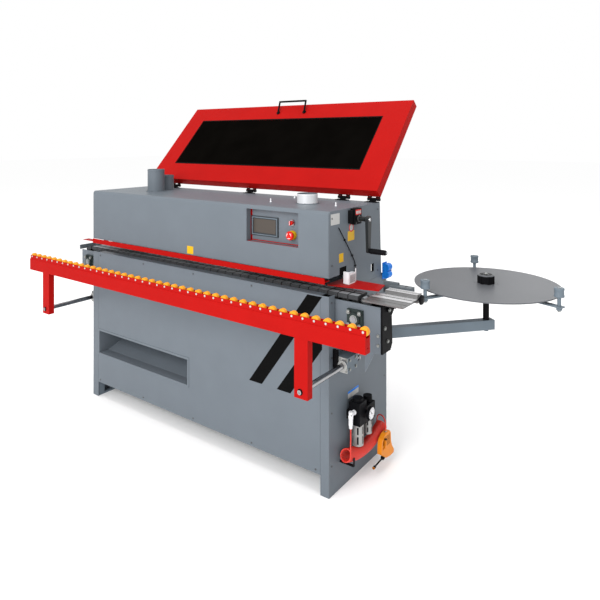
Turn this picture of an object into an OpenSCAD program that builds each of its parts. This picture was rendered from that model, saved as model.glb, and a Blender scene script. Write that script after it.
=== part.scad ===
// Edge banding machine: a steel cabinet with a chain conveyor, a hood over the
// gluing and trimming units, a roller support in front and a tape reel at the side.
// X runs along the conveyor from outfeed to infeed, Y from front to back, Z up.

/* [Cabinet] */
// Width of the cabinet between its side faces
cab_w = 1710; // [1700:10:1760]
// Depth of the cabinet from front to back
cab_d = 534; // [530:1:560]
// Height of the cabinet's top ledge
cab_h = 870; // [868:1:872]
// Lower edge of the front panel
kick_h = 88; // [60:1:120]
// Thickness of the sheet metal
sheet = 3; // [2:0.5:4]

/* [Hood] */
// Depth of the hood over the units
hood_d = 462; // [460:1:470]
// Lower edge of the hood's front sheet
hood_z0 = 949; // [945:1:960]
// Top of the hood
hood_z1 = 1237; // [1230:1:1240]

/* [Rear lid] */
// Length of the lid from its hinge side to its free edge
lid_l = 638; // [600:1:640]
// Depth of the lid's side flanges
lid_t = 51; // [40:1:60]
// Angle of the open lid above the horizontal
lid_open = 47.8; // [45:0.1:60]

/* [Conveyor] */
// Height of the top face of the chain pads
pad_top = 878; // [877:1:880]
// Number of teeth of each sprocket
teeth = 7; // [7:1:7]
// Chain pitch, one pad to each link
pitch = 52; // [52:1:52]
// Distance of the left sprocket beyond the cabinet's left side
drive_out = 105; // [100:1:110]
// Distance of the right sprocket beyond the cabinet's right side
idler_out = 104; // [100:1:110]

/* [Roller support] */
// Distance from the cabinet's front face to the front of the support beam
support_out = 281; // [270:1:300]
// Depth of the support beam
beam_d = 34; // [34:1:38]
// Number of support rollers
rollers = 43; // [38:1:43]
// Spacing of the support rollers
roller_pitch = 53.1; // [52.5:0.1:53.1]

/* [Tape reel] */
// Radius of the reel disc
disc_r = 332; // [320:1:334]
// Distance of the reel's axis beyond the cabinet's right side
reel_out = 472; // [470:1:490]
// Distance of the reel's axis behind the cabinet's front face
reel_y = 634; // [630:1:640]

/* [Hidden] */
$fn = 48;

// Running clearance of a shaft in its bore, on the radius
fit = 0.05;
// Small gap between parts that stand next to each other
gap = 1;

// Colours
body_blue = [0.52, 0.58, 0.63];
side_grey = [0.43, 0.45, 0.47];
signal_red = [0.85, 0.07, 0.09];
near_black = [0.06, 0.06, 0.07];
steel = [0.62, 0.62, 0.63];
alu = [0.80, 0.81, 0.82];
roller_orange = [0.98, 0.62, 0.10];
tube_blue = [0.45, 0.54, 0.61];

// Front return of each side panel, beside the front panel
return_w = 51;
right_return_w = 45;

// Storage tray in the front panel
tray_x = [58, 832];
tray_z = [262, 402];
tray_d = 180;
tray_rim = 8;

// Welded frame
foot = [41, 120];
foot_t = 10;
post = 40;
inset = 6;
bed_z = 780;
bed_t = 20;
bed_y = 205;
anchor_r = 7;
anchor_in = [inset + foot[0] / 2, inset + 90];

// Conveyor
drive_x = -drive_out;
idler_x = cab_w + idler_out;
pitch_r = pitch / (2 * sin(180 / teeth));
pad_w = 84;
pad_t = 20;
lug = 12;
chain_z = pad_top - pad_t - lug - pitch_r;
plate_y = [52, 146];
plate_t = 6;
plate_x = [-197, 1931];
plate_z = [655, 850];
pad_y = plate_y[0] + plate_t + 2;
chain_y = pad_y + pad_w / 2;
run = idler_x - drive_x;
loop = 2 * run + 2 * PI * pitch_r;
pads = floor(loop / pitch);
shaft_r = 12.5;
flange = 76;

// Infeed table
table_x = [1860, 2046];
table_y = [24, 206];
edge_y = 165;
knob_y = 176;
knob_z = 876;

// Hinge line and turned frame of the lid
hinge_y = hood_d + 4;
hinge_z = hood_z1 + 13;
hinge_x = [220, 865, 1500, 1675];
pin_r = 4;
knuckle_r = 8;
lid_u0 = 12;
lid_v0 = 4;
window_x = [148, 1558];
window_u = [148, 525];
handle_x = [791, 996];
handle_u = [583, 648];
handle_v = 92;

// Dust spigots on the hood: X, Y and height of each
port_at = [[320, 215, 132], [286, 318, 90], [1438, 224, 48]];
port_r = 50;

// Control recess in the hood's front
recess_x = [1238, 1546];
recess_z = [1064, 1219];
recess_d = 40;
estop_at = [1488, 1110];
selector_at = [1486, 1167];

// Height crank
crank_y = 215;
crank_z = 1186;
crank_x = cab_w + 66;
crank_l = 142;
grip_l = 82;

// Roller support
beam_x = [-213, 2047];
beam_z = [782, 848];
beam_y = -support_out;
rail_top = 867;
rail_t = 2.5;
rail_in = 4;
roller_r = 17.5;
roller_z = pad_top - roller_r;
roller_w = beam_d - 2 * (rail_in + rail_t) - 2;
tube_t = 3;
leg_w = 64;
leg_z = 550;
leg_x = [-43, cab_w + 53];
rod_x = [-50, cab_w + 50];
rod_z = 576;
rod_r = 12.5;
bush_y = [38, 126];
rod_end = bush_y[1] + 24;
cap_out = 6;

// Tape reel
reel_x = cab_w + reel_out;
arm_a = 41;
arm_z = [655, 700];
arm_w = 40;
arm_l = 581;
pivot_x = reel_x - arm_l * sin(arm_a);
pivot_y = reel_y - arm_l * cos(arm_a);
pivot_r = 10;
disc_z = 866;
disc_t = 5;
post_r = 13.5;
hub_r = 37;
guide_r = 364;
guide_a = [117, 243, 341];
guide_roller_r = 21;

// Air unit on the right side, centres of its two bowls
air_x = cab_w + 42;
bowl_y = [174, 264];
coupling_y = 112;
coupling_z = [270, 345];

// Spiral air hose: its straight ends and the middle line of its coil
hose_r = 3;
coil_r = 28.7;
coil_x = cab_w + 38;
coil_y = [74, 410];
coil_z = 167;
coil_sag = 36;
lead_path = [[1752, 112, 270], [1752, 112, 256], [1755, 107, 242], [1761, 97, 228],
  [1767, 86, 214], [1771, 79, 200], [1773, 75, 186], [1773, 74, 168]];
tail_path = [[1723, 410, 167], [1723, 410, 186], [1727, 407, 202], [1738, 401, 214],
  [1754, 392, 221], [1771, 382, 222], [1785, 372, 214], [1793, 365, 200], [1795, 360, 186],
  [1795, 360, 172]];
cable_r = 2;
cable_path = [[1713, 75, 1159], [1713, 100, 1129], [1713, 125, 1099], [1713, 150, 1069],
  [1713, 172, 1042], [1713, 190, 1019], [1713, 204, 1000], [1713, 214, 984], [1713, 218, 968],
  [1713, 216, 953], [1713, 209, 942], [1713, 199, 934], [1713, 186, 929], [1713, 174, 927]];

// Blow gun, in the plane of the side face
gun_x = 1784;
gun_w = 22;
trigger_y = 322;
trigger_z = 108;

// Units behind the conveyor, each centred on its own X
unit_top = bed_z + bed_t;
glue_x = 1345;
press_x = 1200;
knife_x = 1050;
trim_x = [640, 540];
trim_z = [931, 843];
buff_x = [270, 150];
buff_z = [942, 828];
tool_y = 156;
column_x = [240, 1150];
column_r = 12;
glue_r = 32;
press_r = 56;
glue_y = edge_y + 2 + glue_r;
press_y = edge_y + 2 + press_r;

// Lowest pads under the origin: the middle of the overall box on the floor
extent_x = [beam_x[0], reel_x + guide_r * cos(guide_a[2]) + guide_roller_r];
extent_y = [beam_y - cap_out, reel_y + guide_r * sin(guide_a[0]) + guide_roller_r];

module placed() {
  translate([-(extent_x[0] + extent_x[1]) / 2, -(extent_y[0] + extent_y[1]) / 2, 0]) children();
}

// A box between two opposite corners
module block(low, high) {
  translate(low) cube(high - low);
}

// A round bar from a point along one axis, length signed along the axis
module bar_x(p, r, l) { translate(p) rotate([0, 90, 0]) cylinder(r = r, h = l); }
module bar_y(p, r, l) { translate(p) rotate([-90, 0, 0]) cylinder(r = r, h = l); }
module bar_z(p, r, l) { translate(p) cylinder(r = r, h = l); }

// A profile given in Y and Z, extruded along X
module along_x(x0, l) {
  translate([x0, 0, 0]) rotate([90, 0, 90]) linear_extrude(height = l) children();
}

// A profile given in X and Z, extruded along Y
module along_y(y0, l) {
  translate([0, y0 + l, 0]) rotate([90, 0, 0]) linear_extrude(height = l) children();
}

// Sweep of a round tube along a list of points
function unit(v) = v / norm(v);
function heading(p, i) = unit(p[min(i + 1, len(p) - 1)] - p[max(i - 1, 0)]);
function side_of(d) = unit(cross(d, abs(d[2]) > 0.9 ? [0, 1, 0] : [0, 0, 1]));
function ring(p, i, r, n) =
  let (d = heading(p, i), s = side_of(d), u = cross(s, d))
  [for (k = [0 : n - 1]) p[i] + r * (cos(360 * k / n) * s + sin(360 * k / n) * u)];
module tube(p, r, n) {
  last = len(p) - 1;
  polyhedron(
    points = [for (i = [0 : last]) each ring(p, i, r, n)],
    faces = concat(
      [[for (k = [n - 1 : -1 : 0]) k]],
      [for (i = [0 : last - 1]) for (k = [0 : n - 1])
        [i * n + k, i * n + (k + 1) % n, (i + 1) * n + (k + 1) % n, (i + 1) * n + k]],
      [[for (k = [0 : n - 1]) last * n + k]]
    )
  );
}

// ---------------------------------------------------------------- cabinet

module welded_frame() placed() color(body_blue) difference() {
  union() {
    for (x = [inset, cab_w - inset - foot[0]]) for (y = [inset, cab_d - inset - foot[1]])
      translate([x, y, 0]) cube([foot[0], foot[1], foot_t]);
    for (x = [inset, cab_w - inset - post]) {
      block([x, inset, 0], [x + post, inset + post, 640]);
      block([x, cab_d - inset - post, 0], [x + post, cab_d - inset, bed_z + 1]);
      block([x, inset, 600], [x + post, cab_d - inset, 640]);
      block([x, inset, 95], [x + post, cab_d - inset, 135]);
    }
    for (y = [inset, cab_d - inset - post])
      block([inset, y, 95], [cab_w - inset, y + post, 135]);
    block([inset, bed_y, bed_z], [cab_w - inset, cab_d - inset, bed_z + bed_t]);
    block([inset, bed_y, 745], [cab_w - inset, bed_y + 30, bed_z + 1]);
    for (x = [inset, cab_w - inset - post])
      block([x, bed_y, 600], [x + post, bed_y + 40, bed_z]);
  }
  for (x = [anchor_in[0], cab_w - anchor_in[0]]) for (y = [anchor_in[1], cab_d - anchor_in[1]])
    bar_z([x, y, -1], anchor_r, foot_t + 2);
}

// Side outline of the cabinet with the notch that the conveyor passes through
module side_outline() {
  difference() {
    square([cab_d, cab_h]);
    translate([plate_y[0] - 6, plate_z[0] - 5]) square([bed_y - plate_y[0], cab_h]);
  }
}

module left_side_panel() placed() color(body_blue) {
  along_x(0, sheet) side_outline();
  block([0, 0, 0], [return_w, sheet, cab_h]);
  block([0, cab_d - sheet, 0], [return_w, cab_d, cab_h]);
}

module right_side_panel() placed() color(body_blue) {
  along_x(cab_w - sheet, sheet) side_outline();
  block([cab_w - right_return_w, 0, 0], [cab_w, sheet, cab_h]);
  block([cab_w - right_return_w, cab_d - sheet, 0], [cab_w, cab_d, cab_h]);
}

module front_panel() placed() color(body_blue) {
  difference() {
    block([return_w + gap, 0, kick_h], [cab_w - right_return_w - gap, sheet, cab_h]);
    block([tray_x[0], -1, tray_z[0]], [tray_x[1], sheet + 1, tray_z[1]]);
  }
  block([return_w + gap, sheet - 1, cab_h - sheet],
    [cab_w - right_return_w - gap, plate_y[0] - 8, cab_h]);
}

module storage_tray() placed() color(body_blue) difference() {
  union() {
    block([tray_x[0] + gap, 0, tray_z[0] + gap], [tray_x[1] - gap, tray_d, tray_z[1] - gap]);
    block([tray_x[0] - tray_rim, -2, tray_z[0] - tray_rim],
      [tray_x[1] + tray_rim, 0, tray_z[1] + tray_rim]);
  }
  along_x(tray_x[0] + 4, tray_x[1] - tray_x[0] - 8)
    polygon([[-3, tray_z[0] + 4], [60, tray_z[0] + 4], [tray_d - 3, tray_z[0] + 45],
      [tray_d - 3, tray_z[1] - 4], [-3, tray_z[1] - 4]]);
}

module rear_panel() placed() color(body_blue) difference() {
  block([return_w + gap, cab_d - sheet, kick_h],
    [cab_w - right_return_w - gap, cab_d, cab_h]);
  for (x = [300, 1100]) for (i = [0 : 7])
    translate([x, cab_d - sheet - 1, 240 + 24 * i]) cube([240, sheet + 2, 8]);
}

// --------------------------------------------------------------- conveyor

module conveyor_beam() placed() color(body_blue) difference() {
  union() {
    for (y = plate_y)
      block([plate_x[0], y, plate_z[0]], [plate_x[1], y + plate_t, plate_z[1]]);
    along_y(plate_y[0], plate_t) polygon([[1857, 660], [1900, 660], [1900, 650], [1857, 563]]);
    block([10, pad_y + 36, 745], [cab_w - 10, pad_y + 48, 830]);
    for (x = [60, 460, 860, 1260, 1640])
      block([x, plate_y[0] + 1, 765], [x + 30, plate_y[1] + 1, 785]);
    for (x = [40, cab_w - 90])
      block([x, plate_y[1] + plate_t - 1, 720], [x + 50, bed_y, 745]);
  }
  for (x = [drive_x, idler_x])
    bar_y([x, plate_y[0] - 1, chain_z], 22, plate_y[1] - plate_y[0] + plate_t + 2);
}

// One pad with its two chain lugs, drawn about the chain's pitch line
module pad() {
  translate([-pitch / 2 + 2, -pad_w / 2, lug]) cube([pitch - 4, pad_w, pad_t]);
  for (y = [-18, 12]) translate([-18, y, -lug]) cube([36, 6, 2 * lug + 1]);
}

// Place along the closed chain: distance s gives X, Z and turn about Y
function chain_at(s) =
  s < run ? [drive_x + s, chain_z + pitch_r, 0] :
  s < run + PI * pitch_r ?
    let (a = (s - run) / pitch_r * 180 / PI)
    [idler_x + pitch_r * sin(a), chain_z + pitch_r * cos(a), a] :
  s < 2 * run + PI * pitch_r ?
    [idler_x - (s - run - PI * pitch_r), chain_z - pitch_r, 180] :
    let (a = 180 + (s - 2 * run - PI * pitch_r) / pitch_r * 180 / PI)
    [drive_x + pitch_r * sin(a), chain_z + pitch_r * cos(a), a];

module chain_pads() placed() color("dimgray")
  for (i = [0 : pads - 1]) {
    at = chain_at((i + 0.5) * loop / pads);
    translate([at[0], chain_y, at[1]]) rotate([0, at[2], 0]) pad();
  }

// Square flange bearing with four bolts; its face looks along -Y
module flange_bearing(x, y, face) {
  translate([x, y, chain_z]) scale_y(face) difference() {
    union() {
      translate([-flange / 2, -12, -flange / 2]) cube([flange, 12, flange]);
      bar_y([0, -22, 0], 26, 12);
      for (a = [-27, 27]) for (b = [-27, 27]) bar_y([a, -20, b], 7, 9);
    }
    bar_y([0, -30, 0], shaft_r + fit, 40);
  }
}
module scale_y(face) { if (face < 0) children(); else mirror([0, 1, 0]) children(); }

module flange_bearings() placed() color([0.30, 0.36, 0.35])
  for (x = [drive_x, idler_x]) {
    flange_bearing(x, plate_y[0], -1);
    flange_bearing(x, plate_y[1] + plate_t, 1);
  }

// Toothed wheel on a through shaft between the two plates
module sprocket(x, shaft_y, shaft_l) {
  translate([x, chain_y - 9, chain_z]) rotate([-90, 0, 0]) linear_extrude(height = 18) union() {
    circle(r = pitch_r - 14);
    for (i = [0 : teeth - 1]) rotate(360 * i / teeth)
      polygon([[0, -17], [pitch_r - 8, -15], [pitch_r, -7], [pitch_r, 7], [pitch_r - 8, 15], [0, 17]]);
  }
  bar_y([x, shaft_y, chain_z], shaft_r, shaft_l);
}

module drive_sprocket() placed() color(steel) sprocket(drive_x, 26, 174);
module idler_sprocket() placed() color(steel) sprocket(idler_x, 26, 152);

module drive_motor() placed() color(tube_blue) {
  difference() {
    union() {
      block([drive_x - 60, 176, chain_z - 70], [drive_x + 60, 256, chain_z + 62]);
      bar_y([drive_x, 255, chain_z + 4], 55, 205);
      bar_y([drive_x, 459, chain_z + 4], 50, 24);
      block([drive_x - 34, 300, chain_z + 55], [drive_x + 34, 380, chain_z + 84]);
    }
    bar_y([drive_x, 170, chain_z], shaft_r + fit, 40);
  }
  block([drive_x - 55, plate_y[1] + plate_t, chain_z - 66],
    [drive_x - 41, 176, chain_z - 46]);
}

module end_bracket() placed() color(near_black) {
  along_x(plate_x[1], 8)
    polygon([[plate_y[0] + 3, 655], [128, 655], [146, 680], [140, 800], [165, 822], [165, 852],
      [plate_y[0] + 3, 852]]);
  block([plate_x[1] - 40, 70, 852], [1990, 268, 861]);
  block([plate_x[1] - 10, 80, 860], [1980, 150, 870]);
  bar_x([plate_x[1] + 8, 100, 832], 9, 8);
}

module infeed_table() placed() color(alu) difference() {
  union() {
    block([table_x[0], table_y[0], 871], [table_x[1], edge_y, pad_top]);
    block([1895, edge_y - 1, 861], [table_x[1], table_y[1], 896]);
  }
  for (y = [54, 92, 130]) block([table_x[0] - 1, y, 875], [table_x[1] + 1, y + 5, 880]);
  for (y = [177, 190]) block([1894, y, 893], [table_x[1] + 1, y + 4, 898]);
  bar_x([2006, knob_y, knob_z], 4 + fit, 50);
}

module outfeed_plate() placed() color(side_grey) {
  block([-212, 44, 852], [-206, 160, pad_top]);
  block([-206, 154, 852], [-20, 160, pad_top]);
  block([-190, 152, 800], [-150, 155, 870]);
}

module guard_strips() placed() color(signal_red) {
  block([-100, -4, 929], [1690, 34, 932]);
  block([0, -4, 921], [1690, -1, 941]);
  for (x = [100, 850, 1580]) block([x, sheet + 0.5, 931], [x + 40, sheet + 3.5, 985]);
  translate([0, 0, 898]) linear_extrude(height = 4)
    polygon([[1652, 74], [1660, 68], [1890, 114], [1868, 213], [1652, 213]]);
  block([1690, 206, 898], [1706, 213, 962]);
}

// ------------------------------------------------------------------- hood

// Folded sheet with a rounded front edge, drawn in Y and Z
module fold(t, r) {
  difference() {
    union() {
      translate([0, hood_z0]) square([t, hood_z1 - hood_z0 - r]);
      translate([r, hood_z1 - t]) square([hood_d - r, t]);
      translate([r, hood_z1 - r]) circle(r = r);
    }
    translate([t, hood_z0 - 1]) square([r, hood_z1 - hood_z0 - r + 1]);
    translate([r, hood_z1 - r]) circle(r = r - t);
    translate([r, hood_z1 - 2 * r]) square([r + 1, 2 * r - t]);
  }
}

module hood_cover() placed() color(body_blue) difference() {
  union() {
    along_x(sheet + gap, cab_w - 2 * sheet - 2 * gap) fold(sheet, 16);
    for (x = column_x) bar_z([x, chain_y, 1150], column_r + 6, hood_z1 - sheet - 1150);
  }
  for (x = column_x) bar_z([x, chain_y, 1140], column_r + fit, hood_z1 - sheet - 1141);
  block([recess_x[0], -1, recess_z[0]], [recess_x[1], sheet + 1, recess_z[1]]);
  for (p = port_at) bar_z([p[0], p[1], hood_z1 - 10], port_r - 2, 20);
}

module end_outline(notch_y) {
  difference() {
    union() {
      polygon([[0, hood_z0], [0, hood_z1 - 16], [16, hood_z1], [hood_d, hood_z1],
        [479, cab_h + 1], [notch_y, cab_h + 1], [notch_y, 905], [150, hood_z0]]);
      translate([16, hood_z1 - 16]) circle(r = 16);
    }
    translate([86, 946]) square([61, 34]);
    translate([373, 906]) square([32, 40]);
  }
}

module hood_ends() placed() color(body_blue) {
  along_x(cab_w - sheet, sheet) end_outline(215);
  along_x(0, sheet) end_outline(215);
}

module control_recess() placed() color(signal_red) {
  difference() {
    block([recess_x[0] - 2, sheet, recess_z[0] - 2], [recess_x[1] + 2, recess_d + 3, recess_z[1] + 2]);
    block([recess_x[0], 0, recess_z[0]], [recess_x[1], recess_d, recess_z[1]]);
    bar_y([estop_at[0], recess_d - 5, estop_at[1]], 6 + fit, 20);
    bar_y([selector_at[0], recess_d - 5, selector_at[1]], 5 + fit, 20);
  }
  difference() {
    union() {
      bar_y([estop_at[0], recess_d - 14, estop_at[1]], 20, 15);
      bar_y([selector_at[0], recess_d - 6, selector_at[1]], 14, 7);
    }
    bar_y([estop_at[0], recess_d - 20, estop_at[1]], 6 + fit, 40);
    bar_y([selector_at[0], recess_d - 20, selector_at[1]], 5 + fit, 40);
  }
}

module touch_panel() placed() color(near_black) {
  difference() {
    block([1240, recess_d - 7, 1089], [1404, recess_d, 1182]);
    block([1254, recess_d - 8, 1103], [1390, recess_d - 5, 1170]);
  }
  block([1256, recess_d + 3, 1100], [1390, recess_d + 40, 1172]);
}

module estop_button() placed() color(signal_red) {
  translate([estop_at[0], recess_d - 19, estop_at[1]]) rotate([90, 0, 0])
    rotate_extrude() polygon([[0, 0], [11, 0], [20, 4], [21, 8], [18, 13], [10, 16], [0, 17]]);
  bar_y([estop_at[0], recess_d - 20, estop_at[1]], 6, 42);
}

module selector_knob() placed() color(signal_red) {
  bar_y([selector_at[0], recess_d - 18, selector_at[1]], 10, 11.5);
  block([selector_at[0] - 3, recess_d - 26, selector_at[1] - 10],
    [selector_at[0] + 3, recess_d - 17, selector_at[1] + 10]);
  bar_y([selector_at[0], recess_d - 8, selector_at[1]], 5, 30);
}

module dust_ports() placed() color(body_blue)
  for (p = port_at) translate([p[0], p[1], hood_z1]) difference() {
    union() {
      cylinder(r = port_r, h = p[2]);
      cylinder(r = port_r + 10, h = 2);
    }
    translate([0, 0, -1]) cylinder(r = port_r - 2, h = p[2] + 2);
  }

module position_indicator() placed() color(near_black) difference() {
  union() {
    block([cab_w, 180, 1162], [cab_w + 24, 240, 1234]);
    block([cab_w, 158, 1168], [cab_w + 18, 181, 1228]);
  }
  bar_x([cab_w - 1, crank_y, crank_z], 7 + fit, 40);
}

module height_crank() placed() color([0.14, 0.16, 0.17]) {
  bar_x([cab_w + 0.5, crank_y, crank_z], 7, crank_x - cab_w + 12);
  bar_x([cab_w + 26, crank_y, crank_z], 11, 30);
  hull() {
    bar_x([crank_x, crank_y, crank_z], 17, 15);
    bar_x([crank_x + 1, crank_y, crank_z - crank_l], 11, 12);
  }
  bar_x([crank_x + 12, crank_y, crank_z - crank_l], 4, grip_l + 5);
  bar_x([crank_x + grip_l + 15, crank_y, crank_z - crank_l], 8, 3);
}

module crank_grip() placed() color(near_black)
  translate([crank_x + 14, crank_y, crank_z - crank_l]) rotate([0, 90, 0]) rotate_extrude()
    polygon([[4 + fit, 0], [10, 0], [12, 4], [12, grip_l - 4], [10, grip_l], [4 + fit, grip_l]]);

// -------------------------------------------------------------- rear lid

// Leaf, knuckle and pin of each hinge on the hood's top
module hinge_brackets() placed() color(near_black)
  for (x = hinge_x) {
    block([x - 34, hood_d - 34, hood_z1], [x + 34, hood_d - 1, hood_z1 + 3]);
    block([x - 12, hood_d - 22, hood_z1 + 2], [x + 12, hinge_y + 1, hood_z1 + 7]);
    bar_x([x - 12, hinge_y, hinge_z], knuckle_r, 24);
    block([x - 12, hinge_y - 7, hood_z1 + 2], [x + 12, hinge_y + 1, hinge_z]);
    bar_x([x - 34, hinge_y, hinge_z], pin_r, 68);
  }

// The lid's own frame: U from the hinge to the free edge, V out of the lid
module lid_frame_of() {
  translate([0, hinge_y, hinge_z]) rotate([lid_open, 0, 0]) children();
}

module lid_frame() placed() color(signal_red) lid_frame_of() {
  difference() {
    block([0, lid_u0, lid_v0], [cab_w, lid_u0 + lid_l, lid_v0 + lid_t]);
    block([sheet, lid_u0 + sheet, lid_v0 - 1],
      [cab_w - sheet, lid_u0 + lid_l - sheet, lid_v0 + lid_t - sheet]);
    block([window_x[0], window_u[0], 0], [window_x[1], window_u[1], lid_v0 + lid_t + 1]);
  }
  for (x = hinge_x) for (s = [-34, 13]) difference() {
    union() {
      bar_x([x + s, 0, 0], knuckle_r, 21);
      block([x + s, 0, lid_v0 - 1], [x + s + 21, lid_u0 + sheet, lid_v0 + 4]);
    }
    bar_x([x + s - 1, 0, 0], pin_r + fit, 23);
  }
}

module lid_window() placed() color([0.04, 0.045, 0.05]) lid_frame_of()
  block([window_x[0] - 14, window_u[0] - 14, lid_v0 + lid_t - sheet - 5],
    [window_x[1] + 14, window_u[1] + 14, lid_v0 + lid_t - sheet]);

module lid_handle() placed() color(near_black) lid_frame_of() {
  face = lid_v0 + lid_t;
  reach = [handle_u[1] - handle_u[0], handle_v - face - 6];
  for (x = handle_x) {
    bar_z([x, handle_u[0], face], 12, 6);
    translate([x, handle_u[0], face + 6]) rotate([-atan(reach[0] / reach[1]), 0, 0])
      cylinder(r = 5.5, h = norm(reach));
    translate([x, handle_u[1], handle_v]) sphere(r = 6);
  }
  bar_x([handle_x[0], handle_u[1], handle_v], 6, handle_x[1] - handle_x[0]);
}

// --------------------------------------------------------- roller support

// Box tube with rounded top edges and, set back on it, the two thin rails of the rollers
module beam_profile() {
  round_r = 6;
  translate([beam_y, beam_z[0]]) square([beam_d, beam_z[1] - beam_z[0] - round_r]);
  translate([beam_y + round_r, beam_z[0]]) square([beam_d - 2 * round_r, beam_z[1] - beam_z[0]]);
  for (y = [round_r, beam_d - round_r])
    translate([beam_y + y, beam_z[1] - round_r]) circle(r = round_r);
  translate([beam_y + rail_in, beam_z[0]]) square([beam_d - 2 * rail_in, rail_top - beam_z[0]]);
}

module support_beam() placed() color(signal_red) difference() {
  union() {
    along_x(beam_x[0], beam_x[1] - beam_x[0]) beam_profile();
    for (x = leg_x) block([x - leg_w / 2, beam_y + 1, leg_z],
      [x + leg_w / 2, beam_y + beam_d - 1, beam_z[0] + 1]);
  }
  block([beam_x[0] - 1, beam_y + rail_in + rail_t, roller_z - roller_r - 4],
    [beam_x[1] + 1, beam_y + beam_d - rail_in - rail_t, rail_top + 1]);
  block([beam_x[0] + tube_t, beam_y + tube_t, beam_z[0] + tube_t],
    [beam_x[1] - tube_t, beam_y + beam_d - tube_t, roller_z - roller_r - 4 - tube_t]);
  for (x = [beam_x[0] - 1, beam_x[1] - tube_t - 1])
    bar_x([x, beam_y + beam_d / 2, beam_z[0] + 20], 3, tube_t + 2);
  for (x = leg_x) block([x - leg_w / 2 + tube_t, beam_y + 1 + tube_t, leg_z + tube_t],
    [x + leg_w / 2 - tube_t, beam_y + beam_d - 1 - tube_t, beam_z[0] + tube_t + 1]);
  for (i = [0 : rollers - 1])
    bar_y([beam_x[0] + 18 + i * roller_pitch, beam_y - 1, roller_z], 4.2, beam_d + 2);
  for (x = rod_x) bar_y([x, beam_y - 1, rod_z], 6, beam_d + 2);
}

module support_rollers() placed() color(roller_orange)
  for (i = [0 : rollers - 1]) translate([beam_x[0] + 18 + i * roller_pitch, beam_y, roller_z]) {
    bar_y([0, (beam_d - roller_w) / 2, 0], roller_r, roller_w);
    bar_y([0, rail_in - 1, 0], 4, beam_d - 2 * rail_in + 2);
    bar_y([0, rail_in - 3.5, 0], 5.5, 3.4);
  }

// Rods with a stop collar behind the bearing housings
module support_rods() placed() color(steel)
  for (x = rod_x) {
    bar_y([x, beam_y + beam_d - 1, rod_z], rod_r, rod_end - beam_y - beam_d + 1);
    bar_y([x, rod_end, rod_z], rod_r + 3.5, 8);
    bar_y([x, beam_y - 3, rod_z], 5.9, beam_d + 4);
    bar_y([x, beam_y - cap_out, rod_z], 9, 5);
  }

// Housing of a rod's sliding bush with its front plate and flange, on the side that out points to
module support_bush(x, wall, out) {
  difference() {
    union() {
      block([min(wall, wall + 70 * out), bush_y[0], rod_z - 32],
        [max(wall, wall + 70 * out), bush_y[1], rod_z + 32]);
      block([min(wall, wall + 24 * out), bush_y[0] - 8, rod_z - 32],
        [max(wall, wall + 24 * out), bush_y[0] + 1, rod_z + 60]);
      bar_y([x, bush_y[0] - 11, rod_z], 22, 12);
    }
    bar_y([x, bush_y[0] - 30, rod_z], rod_r + fit, 200);
  }
}

module support_bushes() placed() color(tube_blue) {
  support_bush(rod_x[0], 0, -1);
  support_bush(rod_x[1], cab_w, 1);
}

// ---------------------------------------------------------------- reel

module reel_bracket() placed() color(near_black) {
  for (z = [arm_z[0] - 9, arm_z[1] + 1])
    block([cab_w, pivot_y - 30, z], [pivot_x + 22, pivot_y + 30, z + 8]);
  block([cab_w, pivot_y - 30, arm_z[0] - 40], [cab_w + 8, pivot_y + 30, arm_z[1] + 40]);
  bar_z([pivot_x, pivot_y, arm_z[0] - 9], pivot_r, arm_z[1] - arm_z[0] + 18);
}

module reel_arm() placed() color(tube_blue) {
  difference() {
    translate([pivot_x, pivot_y, 0]) rotate([0, 0, -arm_a])
      block([-arm_w / 2, -24, arm_z[0]], [arm_w / 2, arm_l + 34, arm_z[1]]);
    bar_z([pivot_x, pivot_y, arm_z[0] - 1], pivot_r + fit, arm_z[1] - arm_z[0] + 2);
  }
  bar_z([reel_x, reel_y, arm_z[0] - 8], 11, 9);
  bar_z([reel_x, reel_y, arm_z[1] - 1], post_r, disc_z - arm_z[1] - 13);
  bar_z([reel_x, reel_y, arm_z[1] - 1], 10, disc_z - arm_z[1] + 40);
  bar_z([reel_x, reel_y, disc_z - 26], 34, 12);
  for (a = guide_a) translate([reel_x, reel_y, 0]) rotate([0, 0, a]) {
    block([20, -16, disc_z - 22], [guide_r + 16, 16, disc_z - 16]);
    bar_z([guide_r, 0, disc_z - 17], 8, 40);
    bar_z([guide_r, 0, disc_z + 22], 5, 42);
    bar_z([guide_r, 0, disc_z - 32], 12, 11);
  }
}

module reel_disc() placed() color([0.47, 0.49, 0.51]) translate([reel_x, reel_y, disc_z])
  rotate_extrude($fn = 120) polygon([[10 + fit, -12], [30, -12], [30, 0], [disc_r, 0],
    [disc_r, disc_t], [hub_r, disc_t], [hub_r, 43], [33, 47], [10 + fit, 47]]);

module guide_rollers() placed() color(tube_blue)
  for (a = guide_a) translate([reel_x, reel_y, disc_z + 23]) rotate([0, 0, a])
    translate([guide_r, 0, 0]) difference() {
      cylinder(r = guide_roller_r, h = 38);
      translate([0, 0, -1]) cylinder(r = 5 + fit, h = 42);
    }

// ------------------------------------------------------------- air service

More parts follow.
